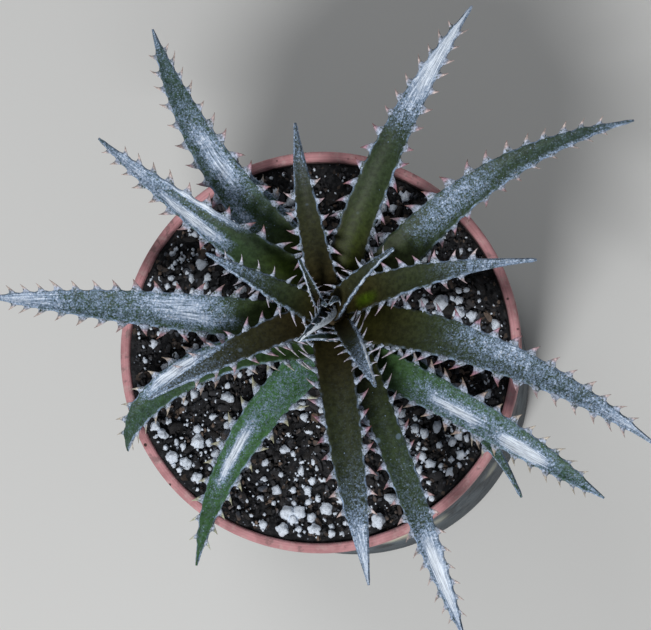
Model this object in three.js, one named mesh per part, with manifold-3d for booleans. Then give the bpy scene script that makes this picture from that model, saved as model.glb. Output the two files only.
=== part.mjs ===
// Dyckia bromeliad in a clay pot: the pot, its gritty soil, a short stem and a rosette of
// narrow, spine-edged leaves. Millimetres, +Z up, origin at the centre of the pot's underside.
import * as THREE from "three";
import { mergeVertices } from "three/addons/utils/BufferGeometryUtils.js";
import Module from "manifold-3d";

const wasm = await Module();
wasm.setup();

// Driving dimensions -------------------------------------------------------------------------

const GAP = 0.4; // clear distance kept between touching pieces
const ROUND_SIDES = 48; // facets round the pot and its soil

// Pot
const POT_HEIGHT = 122;
const RIM_RADIUS = 60;
const RIM_INNER_RADIUS = 57.3;
const RIM_ROUNDING = 0.8;
const LIP_DEPTH = 7;
const LIP_OVERHANG = 1.2;
const BASE_RADIUS = 58;
const BASE_ROUNDING = 1.5;
const WALL = 2.5;
const COLLAR_DEPTH = 9; // depth over which the inside narrows from the rim to the wall
const FLOOR = 5;
const DRAIN_COUNT = 6;
const DRAIN_RADIUS = 4;
const DRAIN_CIRCLE = 30;
const DRAIN_SIDES = 16;

// Soil
const SOIL_DEPTH = 5.5; // below the rim, at the wall
const SOIL_DIP = 1; // how much lower it lies round the stem
const SOIL_RING = 0.6; // share of the soil's radius at which its top has a ring of corners
const GRAIN_COUNT = 80;
const GRAIN_SMALLEST = 1.0;
const GRAIN_LARGEST = 2.6;
const GRAIN_SHOWING = 0.25; // share of a grain's radius that its centre stands above the soil
const GRAIN_SPACING = 1.15; // in sums of two grains' radii
const GRAIN_FROM_WALL = 1.3; // in its own radii
const GRAIN_STRETCH = new THREE.Vector3(1.1, 1, 0.8);
const GRAIN_CLEAR_OF_STEM = 13;
const GRAIN_SEED = 41;

// Stem, standing off the pot's axis
const PLANT_X = 5.5;
const PLANT_Y = 10.5;
const STEM_FOOT_RADIUS = 5;
const STEM_TOP_RADIUS = 2;
const STEM_BURIED = 10;
const STEM_HEAD_RADIUS = 1.2;
const STEM_SIDES = 16;

// Rosette: the leaves sit in levels up the stem and rise more steeply from level to level
const FIRST_LEVEL = 118.2;
const LEVEL_STEP = 2.9;
const FIRST_ROOT_RADIUS = 6.8;
const ROOT_RADIUS_STEP = 0.55;
const FIRST_RISE = 12; // degrees above the horizontal
const RISE_STEP = 8;
const STEM_TOP = FIRST_LEVEL + 16.2;

// Leaf blade
const BLADE_MIDRIB = 3.2; // thickness at the midrib of a full-grown leaf
const MIDRIB_SHARE = 0.4; // and at most this share of a narrow leaf's width
const BLADE_EDGE = 1; // thickness at the margins and the tip
const BLADE_CUP = 0.3; // rise of the margins, as a share of half the width
const ROOT_NARROWING = 0.15; // share of the width that is missing at the root
const ROOT_LENGTH = 0.12; // share of the blade over which it widens
const TIP_WIDTH = 0.9;
const BLADE_STEPS = 10;
const BLADE_PANELS = 4;

// Spines along both margins
const SPINE_LENGTH = 2.7;
const SPINE_FOOT = 1.7; // along the margin
const SPINE_THICKNESS = 0.75;
const SPINE_SUNK = 0.5;
const SPINE_UPTURN = 0.4; // rise per unit of reach, following the dished blade
const SPINE_SPACING = 6;
const SPINE_YOUNG = 0.55; // size on a blade of no width, against the full size on the widest
const SPINE_AT_TIP = 0.5; // size at the tip, against the size further down
const SPINE_FIRST = 0.12; // share of the blade before the first spine
const SPINE_LAST = 0.93;
const SPINE_LEAN_ROOT = -42; // degrees, negative towards the stem
const SPINE_LEAN_TIP = 52;
const CONE_DEPTH = 1.5; // depth of a three-sided cone, in its own radii
const CONE_MIDDLE = 0.25; // where the middle of that depth lies, in its own radii

// One entry per leaf, from the lowest to the heart. azimuth is counted anticlockwise from +X and
// fall is the slope of the tip, both in degrees. A blade's width falls off with its share of the
// length to the power of taper, so a low taper gives a long, narrow point. cup is given where a
// young leaf is folded more than the rest. The other values are millimetres: reach and width of
// the blade, start (distance from the stem's axis, where it isn't the level's own), root (sideways
// offset where the leaf leaves the stem), bow (sideways bend at mid-length) and tip (its height).
const LEAVES = [
  { name: "leaf_north_west_low", level: 0, azimuth: 125, reach: 60, width: 9.5, taper: 2.2,
    root: 0, bow: -2, tip: 128, fall: 5 },
  { name: "leaf_south_west", level: 0, azimuth: 240.8, reach: 85, width: 11.8, taper: 2.6,
    root: 3.8, bow: -7.5, tip: 127, fall: -8 },
  { name: "leaf_south_east_low", level: 0, azimuth: 315, reach: 77, width: 9, taper: 1.8,
    root: -3.5, bow: 7.5, tip: 125, fall: -8 },
  { name: "leaf_north_west", level: 1, azimuth: 122.4, reach: 99.5, width: 12.7, taper: 2.8,
    root: -4, bow: 7.4, tip: 140, fall: -5 },
  { name: "leaf_west_south_west_low", level: 1, azimuth: 212, reach: 75, width: 10.4, taper: 5,
    root: 7, bow: -11.5, tip: 118, fall: -60 },
  { name: "leaf_east_south_east", level: 1, azimuth: 325, reach: 96, width: 10.4, taper: 4,
    root: -7.5, bow: 1.8, tip: 134, fall: -12 },
  { name: "leaf_west", level: 2, azimuth: 177.5, reach: 102, width: 12, taper: 3,
    root: 4, bow: 0, tip: 144, fall: -10 },
  { name: "leaf_south_south_east", level: 2, azimuth: 292, reach: 103.5, width: 8.6, taper: 4,
    root: 1.5, bow: 0.7, tip: 146, fall: -8 },
  { name: "leaf_north_east", level: 2, azimuth: 31, reach: 103, width: 13.6, taper: 1.75,
    root: -4, bow: 10, tip: 148, fall: -5 },
  { name: "leaf_west_north_west", level: 3, azimuth: 143.5, reach: 84, width: 12.4, taper: 1.8,
    root: -2.5, bow: 2.2, tip: 150, fall: -5 },
  { name: "leaf_south", level: 3, azimuth: 278, reach: 81, width: 11.3, taper: 3,
    root: -2.5, bow: 0.5, tip: 146, fall: -15 },
  { name: "leaf_east", level: 3, azimuth: 336.5, reach: 102, width: 12.5, taper: 2.2,
    root: -1, bow: 6.3, tip: 150, fall: -10 },
  { name: "leaf_north_north_east", level: 3, azimuth: 64, reach: 96, width: 10.6, taper: 2.6,
    root: 2, bow: 3.4, tip: 154, fall: 0 },
  { name: "leaf_west_south_west", level: 4, azimuth: 206.5, reach: 59, width: 8.8, taper: 2.5,
    root: -1, bow: -1, tip: 146, fall: -15 },
  { name: "leaf_north", level: 4, azimuth: 99, reach: 52, width: 8.5, taper: 2.6,
    root: 1, bow: 1, tip: 164, fall: 15 },
  { name: "leaf_east_upper", level: 4, azimuth: 11.5, reach: 61.5, width: 10.2, taper: 1.4,
    root: 2.5, bow: 2, tip: 154, fall: 0 },
  { name: "leaf_inner_west", level: 5, azimuth: 157, reach: 37, width: 8.2, taper: 1.8,
    root: 1.5, bow: 0.5, tip: 162, fall: 20 },
  { name: "leaf_inner_north_east", level: 5, azimuth: 36.5, reach: 25, width: 7.2, taper: 1.2,
    start: -0.5, root: 0.4, bow: 1.2, tip: 164, fall: 40 },
  { name: "leaf_inner_south_east", level: 5, azimuth: 301, reach: 28.5, width: 5.8, taper: 3.2,
    root: 0.3, bow: 0.5, tip: 162, fall: 25 },
  { name: "leaf_inner_south_west", level: 5, azimuth: 227, reach: 13, width: 3.4, taper: 2.5,
    cup: 0.6, start: 4.8, root: 5.4, bow: 1, tip: 146, fall: 0 },
  { name: "leaf_innermost_north_west", level: 6, azimuth: 120, reach: 14, width: 2.8, taper: 2.5,
    cup: 0.8, root: 2.6, bow: 0, tip: 164, fall: 40 },
  { name: "leaf_innermost_south_west", level: 6, azimuth: 232.5, reach: 13.5, width: 5.7, taper: 3.2,
    cup: 0.5, start: 0.9, root: -1.3, bow: 1.3, tip: 156, fall: -10 },
  { name: "heart_leaf_east", level: 7, azimuth: 50, reach: 0.4, width: 3, taper: 2.5,
    cup: 0.8, start: 3, root: 0.5, bow: 0, tip: 150, fall: 170 },
  { name: "heart_leaf_west", level: 7, azimuth: 150, reach: 0.6, width: 2.6, taper: 2.5,
    cup: 0.8, start: 2.4, root: -0.8, bow: 0, tip: 148, fall: 170 },
];

const WIDEST = Math.max(...LEAVES.map((leaf) => leaf.width));
const LAST_LEVEL = Math.max(...LEAVES.map((leaf) => leaf.level));

// Solids -------------------------------------------------------------------------------------

const WELD = 1e-4; // corners closer than this are one

function solidOf(geometry) {
  const bare = geometry.index ? geometry.toNonIndexed() : geometry.clone();
  bare.deleteAttribute("normal");
  bare.deleteAttribute("uv");
  const merged = mergeVertices(bare, WELD);
  const vertProperties = new Float32Array(merged.attributes.position.array);
  const triVerts = new Uint32Array(merged.index.array);
  return new wasm.Manifold(new wasm.Mesh({ numProp: 3, vertProperties, triVerts }));
}

function geometryOf(solid) {
  const mesh = solid.getMesh();
  const geometry = new THREE.BufferGeometry();
  geometry.setAttribute("position", new THREE.BufferAttribute(mesh.vertProperties, 3));
  geometry.setIndex(new THREE.BufferAttribute(mesh.triVerts, 1));
  geometry.computeVertexNormals();
  return geometry;
}

function boxOf(solid) {
  const { min, max } = solid.boundingBox();
  return new THREE.Box3(new THREE.Vector3(...min), new THREE.Vector3(...max));
}

function boxesMeet(first, second) {
  return boxOf(first).intersectsBox(boxOf(second));
}

function overlaps(first, second) {
  return boxesMeet(first, second) && first.intersect(second).volume() > 0;
}

function largestPiece(solid) {
  const pieces = solid.decompose();
  return pieces.reduce((best, piece) => (piece.volume() > best.volume() ? piece : best));
}

function seededDraw(seed) {
  let state = seed;
  return () => {
    state = (state * 1664525 + 1013904223) % 4294967296;
    return state / 4294967296;
  };
}

// A lathe turns about +Y, so its solid is tipped up to turn about +Z.
function turned(points, sides) {
  return new THREE.LatheGeometry(points, sides).rotateX(Math.PI / 2);
}

function point(x, y) {
  return new THREE.Vector2(x, y);
}

// Pot ----------------------------------------------------------------------------------------

const LIP_BOTTOM = POT_HEIGHT - LIP_DEPTH;
const WALL_TOP_RADIUS = RIM_RADIUS - LIP_OVERHANG;
const COLLAR_BOTTOM = POT_HEIGHT - COLLAR_DEPTH;

function outerWallRadius(height) {
  return BASE_RADIUS + ((WALL_TOP_RADIUS - BASE_RADIUS) * height) / LIP_BOTTOM;
}

function innerWallRadius(height) {
  const wall = outerWallRadius(height) - WALL;
  const collar = (height - COLLAR_BOTTOM) / COLLAR_DEPTH;
  const collarFoot = outerWallRadius(COLLAR_BOTTOM) - WALL;
  return collar > 0 ? THREE.MathUtils.lerp(collarFoot, RIM_INNER_RADIUS, collar) : wall;
}

function potSolid() {
  const profile = [
    point(0, 0),
    point(BASE_RADIUS - BASE_ROUNDING, 0),
    point(outerWallRadius(BASE_ROUNDING), BASE_ROUNDING),
    point(WALL_TOP_RADIUS, LIP_BOTTOM),
    point(RIM_RADIUS - RIM_ROUNDING / 2, LIP_BOTTOM + RIM_ROUNDING / 2),
    point(RIM_RADIUS, LIP_BOTTOM + 2 * RIM_ROUNDING),
    point(RIM_RADIUS, POT_HEIGHT - RIM_ROUNDING),
    point(RIM_RADIUS - RIM_ROUNDING, POT_HEIGHT),
    point(RIM_INNER_RADIUS + RIM_ROUNDING, POT_HEIGHT),
    point(RIM_INNER_RADIUS, POT_HEIGHT - RIM_ROUNDING),
    point(innerWallRadius(COLLAR_BOTTOM), COLLAR_BOTTOM),
    point(innerWallRadius(FLOOR), FLOOR),
    point(0, FLOOR),
  ];
  let pot = solidOf(turned(profile, ROUND_SIDES));
  for (let i = 0; i < DRAIN_COUNT; i += 1) {
    const turn = (2 * Math.PI * i) / DRAIN_COUNT;
    const drain = new THREE.CylinderGeometry(DRAIN_RADIUS, DRAIN_RADIUS, 3 * FLOOR, DRAIN_SIDES);
    drain.rotateX(Math.PI / 2);
    drain.translate(DRAIN_CIRCLE * Math.cos(turn), DRAIN_CIRCLE * Math.sin(turn), 0);
    pot = pot.subtract(solidOf(drain));
  }
  return pot;
}

// Stem ---------------------------------------------------------------------------------------

const SOIL_EDGE = POT_HEIGHT - SOIL_DEPTH;
const SOIL_TOP = SOIL_EDGE - SOIL_DIP;
const STEM_FOOT = SOIL_TOP - STEM_BURIED;

// spread widens the stem all round, to leave clearance where other pieces are cut to it.
function stemSolid(spread = 0) {
  const profile = [
    point(0, STEM_FOOT - spread),
    point(STEM_FOOT_RADIUS + spread, STEM_FOOT - spread),
    point(STEM_FOOT_RADIUS + spread, FIRST_LEVEL),
    point(STEM_TOP_RADIUS + spread, STEM_TOP - STEM_TOP_RADIUS),
    point(STEM_HEAD_RADIUS + spread, STEM_TOP + spread),
    point(0, STEM_TOP + spread),
  ];
  return solidOf(turned(profile, STEM_SIDES).translate(PLANT_X, PLANT_Y, 0));
}

// Soil ---------------------------------------------------------------------------------------

function soilHeight(x, y) {
  const away = Math.hypot(x - PLANT_X, y - PLANT_Y) / RIM_RADIUS;
  return SOIL_EDGE - SOIL_DIP * Math.max(0, 1 - away);
}

function soilBed() {
  const bottom = FLOOR + GAP;
  const edge = innerWallRadius(SOIL_EDGE) - GAP;
  const profile = [
    point(0, bottom),
    point(innerWallRadius(bottom) - GAP, bottom),
    point(innerWallRadius(COLLAR_BOTTOM) - GAP, COLLAR_BOTTOM),
    point(edge, SOIL_EDGE),
    point(edge * SOIL_RING, SOIL_EDGE),
    point(0, SOIL_EDGE),
  ];
  const bed = turned(profile, ROUND_SIDES);
  const spots = bed.attributes.position;
  for (let i = 0; i < spots.count; i += 1) {
    const [x, y, z] = [spots.getX(i), spots.getY(i), spots.getZ(i)];
    if (z > SOIL_EDGE - GAP && Math.hypot(x, y) < edge - GAP) {
      spots.setZ(i, soilHeight(x, y));
    }
  }
  return solidOf(bed);
}

function grainSpots() {
  const draw = seededDraw(GRAIN_SEED);
  const edge = innerWallRadius(SOIL_EDGE) - GAP;
  const spots = [];
  while (spots.length < GRAIN_COUNT) {
    const radius = THREE.MathUtils.lerp(GRAIN_SMALLEST, GRAIN_LARGEST, draw() ** 2);
    const away = (edge - GRAIN_FROM_WALL * radius) * Math.sqrt(draw());
    const bearing = 2 * Math.PI * draw();
    const x = away * Math.cos(bearing);
    const y = away * Math.sin(bearing);
    const turn = Math.PI * draw();
    const clear = Math.hypot(x - PLANT_X, y - PLANT_Y) > GRAIN_CLEAR_OF_STEM;
    const apart = spots.every(
      (other) => Math.hypot(other.x - x, other.y - y) > GRAIN_SPACING * (other.radius + radius),
    );
    if (clear && apart) {
      spots.push({ x, y, radius, turn });
    }
  }
  return spots;
}

function grainSolid({ x, y, radius, turn }) {
  const grain = new THREE.OctahedronGeometry(radius);
  grain.rotateX(turn).rotateZ(2 * turn).scale(...GRAIN_STRETCH);
  grain.translate(x, y, soilHeight(x, y) + GRAIN_SHOWING * radius);
  return solidOf(grain);
}

function soilSolid() {
  const grainy = grainSpots().reduce((soil, spot) => soil.add(grainSolid(spot)), soilBed());
  return largestPiece(grainy.subtract(stemSolid(GAP)));
}

// Leaves -------------------------------------------------------------------------------------

function leafCurve(leaf) {
  const rise = THREE.MathUtils.degToRad(FIRST_RISE + RISE_STEP * leaf.level);
  const fall = THREE.MathUtils.degToRad(leaf.fall);
  const rootRadius = leaf.start ?? FIRST_ROOT_RADIUS - ROOT_RADIUS_STEP * leaf.level;
  const start = new THREE.Vector3(rootRadius, leaf.root, FIRST_LEVEL + LEVEL_STEP * leaf.level);
  const end = new THREE.Vector3(leaf.reach, 0, leaf.tip);
  const arm = Math.hypot(end.x - start.x, end.z - start.z) / 3;
  const bend = (4 / 3) * leaf.bow;
  const rising = new THREE.Vector3(
    start.x + arm * Math.cos(rise),
    (2 / 3) * leaf.root + bend,
    start.z + arm * Math.sin(rise),
  );
  const falling = new THREE.Vector3(
    end.x - arm * Math.cos(fall),
    (1 / 3) * leaf.root + bend,
    end.z - arm * Math.sin(fall),
  );
  const turn = THREE.MathUtils.degToRad(leaf.azimuth);
  const points = [start, rising, falling, end].map((spot) => {
    spot.applyAxisAngle(new THREE.Vector3(0, 0, 1), turn);
    return spot.add(new THREE.Vector3(PLANT_X, PLANT_Y, 0));
  });
  return new THREE.CubicBezierCurve3(...points);
}

// The blade's own axes at a share of its length: along it, across it and out of its upper face.
function leafFrame(leaf, curve, share) {
  const turn = THREE.MathUtils.degToRad(leaf.azimuth);
  const along = curve.getTangentAt(share);
  const across = new THREE.Vector3(-Math.sin(turn), Math.cos(turn), 0);
  across.addScaledVector(along, -across.dot(along)).normalize();
  const up = new THREE.Vector3().crossVectors(along, across);
  return { at: curve.getPointAt(share), along, across, up };
}

function rootShape(share) {
  return 1 - ROOT_NARROWING * (1 - THREE.MathUtils.smoothstep(share, 0, ROOT_LENGTH));
}

function leafHalfWidth(leaf, share) {
  return Math.max(TIP_WIDTH, leaf.width * (1 - share ** leaf.taper) * rootShape(share)) / 2;
}

function leafThickness(leaf, share, side) {
  const thickest = Math.min(BLADE_MIDRIB, MIDRIB_SHARE * leaf.width) * rootShape(share);
  const midrib = THREE.MathUtils.lerp(thickest, BLADE_EDGE, share ** 2);
  return THREE.MathUtils.lerp(BLADE_EDGE, midrib, 1 - side ** 2);
}

// How far the upper face stands above the blade's middle line.
function leafRise(leaf, share, side) {
  const dish = (leaf.cup ?? BLADE_CUP) * leafHalfWidth(leaf, share) * side ** 2;
  return leafThickness(leaf, share, 0) / 2 + dish;
}

// side runs from -1 to 1 across the blade; the upper face is dished and the lower one rounded.
function bladePoint(leaf, curve, share, side, face, spread) {
  const { at, along, across, up } = leafFrame(leaf, curve, share);
  const end = Math.floor(share) - Math.floor(1 - share);
  const top = leafRise(leaf, share, side);
  const height = face > 0 ? top + spread : top - leafThickness(leaf, share, side) - spread;
  at.addScaledVector(along, end * spread);
  at.addScaledVector(across, side * (leafHalfWidth(leaf, share) + spread));
  return at.addScaledVector(up, height);
}

// spread thickens, widens and lengthens the blade, to leave clearance where others are cut to it.
function bladeSolid(leaf, curve, spread = 0) {
  const blade = new THREE.BoxGeometry(2, 2, 1, BLADE_PANELS, 1, BLADE_STEPS).toNonIndexed();
  const spots = blade.attributes.position;
  for (let i = 0; i < spots.count; i += 1) {
    const share = THREE.MathUtils.clamp(spots.getZ(i) + 0.5, 0, 1);
    const place = bladePoint(leaf, curve, share, spots.getX(i), spots.getY(i), spread);
    spots.setXYZ(i, place.x, place.y, place.z);
  }
  return solidOf(blade);
}

function spineSize(leaf, share) {
  const grown = THREE.MathUtils.lerp(SPINE_YOUNG, 1, leaf.width / WIDEST);
  return grown * THREE.MathUtils.lerp(1, SPINE_AT_TIP, share ** 3);
}

// A spine is a three-sided cone, rooted in the margin and hooked along it. spread swells it, to
// test its clearance.
function spineSolid(leaf, curve, share, side, spread = 0) {
  const { at, along, across, up } = leafFrame(leaf, curve, share);
  const halfWidth = leafHalfWidth(leaf, share);
  const size = spineSize(leaf, share);
  const lean = THREE.MathUtils.lerp(SPINE_LEAN_ROOT, SPINE_LEAN_TIP, share);
  const shift = Math.tan(THREE.MathUtils.degToRad(lean));
  const margin = leafRise(leaf, share, 1) - BLADE_EDGE / 2;
  const foot = SPINE_FOOT * size + 2 * spread;
  const depth = (SPINE_THICKNESS * size + 2 * spread) / CONE_DEPTH;
  const spine = new THREE.ConeGeometry(1, 1, 3).translate(0, 0.5, 0).toNonIndexed();
  const spots = spine.attributes.position;
  const out = across.clone().multiplyScalar(side);
  for (let i = 0; i < spots.count; i += 1) {
    const reach = spots.getY(i) * (SPINE_LENGTH * size + SPINE_SUNK + 2 * spread);
    const place = at.clone().addScaledVector(out, halfWidth - SPINE_SUNK + reach);
    place.addScaledVector(along, (spots.getX(i) * foot) / 2 + shift * reach);
    const lift = SPINE_UPTURN * (reach - SPINE_SUNK);
    place.addScaledVector(up, margin + lift + (spots.getZ(i) - CONE_MIDDLE) * depth);
    spots.setXYZ(i, place.x, place.y, place.z);
  }
  const solid = solidOf(spine);
  return solid.volume() > 0 ? solid : solidOf(mirrored(spine));
}

// Turns a geometry's faces round, for a piece built on the blade's other side.
function mirrored(geometry) {
  const spots = geometry.attributes.position;
  const swapped = geometry.clone();
  const [second, third] = [new THREE.Vector3(), new THREE.Vector3()];
  for (let i = 0; i < spots.count; i += 3) {
    second.fromBufferAttribute(spots, i + 1);
    third.fromBufferAttribute(spots, i + 2);
    swapped.attributes.position.setXYZ(i + 1, ...third);
    swapped.attributes.position.setXYZ(i + 2, ...second);
  }
  return swapped;
}

function spineShares(curve) {
  const stretch = (SPINE_LAST - SPINE_FIRST) * curve.getLength();
  const count = Math.max(1, Math.floor(stretch / SPINE_SPACING));
  const shares = Array.from({ length: count + 1 }, (_, i) => i / count);
  return shares.map((share) => THREE.MathUtils.lerp(SPINE_FIRST, SPINE_LAST, share));
}

// The upper leaves are laid first, and each lower one is cut clear of those above it. A spine
// that would touch a neighbour is left out.
function leafSolids() {
  const laid = [...LEAVES].reverse().map((leaf) => ({ leaf, curve: leafCurve(leaf) }));
  const stem = stemSolid(GAP);
  laid.forEach((item, i) => {
    item.guard = bladeSolid(item.leaf, item.curve, GAP);
    const above = laid.slice(0, i).filter((other) => boxesMeet(other.guard, item.guard));
    const blade = bladeSolid(item.leaf, item.curve).subtract(stem);
    item.solid = largestPiece(above.reduce((rest, other) => rest.subtract(other.guard), blade));
  });
  const standing = [];
  laid.forEach((item) => {
    const blades = laid.filter((other) => other !== item).map((other) => other.solid);
    const spines = standing.map((other) => other.spine);
    const places = spineShares(item.curve).flatMap((share) => [[share, -1], [share, 1]]);
    places.forEach(([share, side]) => {
      const spine = spineSolid(item.leaf, item.curve, share, side);
      const guard = spineSolid(item.leaf, item.curve, share, side, GAP);
      const clear = ![stem, ...blades, ...spines].some((other) => overlaps(guard, other));
      if (clear && overlaps(spine, item.solid)) {
        standing.push({ item, spine });
      }
    });
  });
  standing.forEach(({ item, spine }) => {
    item.solid = item.solid.add(spine);
  });
  return laid.reverse();
}

// Materials and scene graph ------------------------------------------------------------------

const clay = new THREE.MeshStandardMaterial({ color: 0xa8706c, roughness: 0.85, metalness: 0 });
const grit = new THREE.MeshStandardMaterial({ color: 0x3b3833, roughness: 0.95, metalness: 0 });
const bark = new THREE.MeshStandardMaterial({ color: 0x5a4a35, roughness: 0.9, metalness: 0 });

// The leaves turn from silver to olive towards the heart.
function leafMaterial(level) {
  const colour = new THREE.Color(0x6f8078).lerp(new THREE.Color(0x39401f), level / LAST_LEVEL);
  return new THREE.MeshStandardMaterial({ color: colour, roughness: 0.6, metalness: 0 });
}

function namedMesh(name, solid, material) {
  const mesh = new THREE.Mesh(geometryOf(solid), material);
  mesh.name = name;
  return mesh;
}

const plant = new THREE.Group();
plant.add(namedMesh("pot", potSolid(), clay));
plant.add(namedMesh("soil", soilSolid(), grit));
plant.add(namedMesh("stem", stemSolid(), bark));
leafSolids().forEach(({ leaf, solid }) => {
  plant.add(namedMesh(leaf.name, solid, leafMaterial(leaf.level)));
});

export default plant;
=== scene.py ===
"""Dresses a potted dyckia: a clay pot, its gritty soil, a short stem and a rosette of leaves.

Everything is in metres, +Z up, with the origin at the centre of the pot's underside. Each piece
keeps the form and the place of the solid that it stands for, and adds the finer detail: turned
clay, bark, perlite, toothed margins and the leaves' silver scales.
"""

import math
import random

import bmesh
import bpy
from mathutils import Matrix, Vector, noise


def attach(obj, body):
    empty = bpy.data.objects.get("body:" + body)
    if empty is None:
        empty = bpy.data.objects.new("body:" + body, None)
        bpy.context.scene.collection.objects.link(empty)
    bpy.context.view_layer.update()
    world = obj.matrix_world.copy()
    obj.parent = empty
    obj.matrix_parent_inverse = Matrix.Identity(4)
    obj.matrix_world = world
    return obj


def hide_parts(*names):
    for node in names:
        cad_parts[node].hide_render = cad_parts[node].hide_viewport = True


bl_info = {
    "name": "Potted dyckia",
    "version": (1, 0, 0),
    "blender": (4, 5, 0),
    "location": "3D View > Sidebar > Dyckia",
    "description": "Builds a dyckia bromeliad in its clay pot round the packed model",
    "category": "Add Mesh",
}

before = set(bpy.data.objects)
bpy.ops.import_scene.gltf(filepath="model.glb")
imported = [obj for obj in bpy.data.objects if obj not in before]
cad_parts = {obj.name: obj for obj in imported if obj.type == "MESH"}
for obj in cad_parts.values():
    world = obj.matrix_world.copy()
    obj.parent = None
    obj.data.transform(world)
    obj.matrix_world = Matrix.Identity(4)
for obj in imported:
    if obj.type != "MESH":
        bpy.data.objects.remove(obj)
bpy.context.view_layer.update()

BODY = "root"
MM = 0.001
UP = Vector((0, 0, 1))


def srgb(red, green, blue):
    """A colour given as display values from 0 to 255, in linear light."""
    shares = (value / 255 for value in (red, green, blue))
    return tuple(s / 12.92 if s <= 0.04045 else ((s + 0.055) / 1.055) ** 2.4 for s in shares)


# The rosette, in millimetres and degrees -----------------------------------------------------

PLANT_X = 5.5
PLANT_Y = 10.5
FIRST_LEVEL = 118.2
LEVEL_STEP = 2.9
FIRST_ROOT_RADIUS = 6.8
ROOT_RADIUS_STEP = 0.55
FIRST_RISE = 12
RISE_STEP = 8

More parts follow.
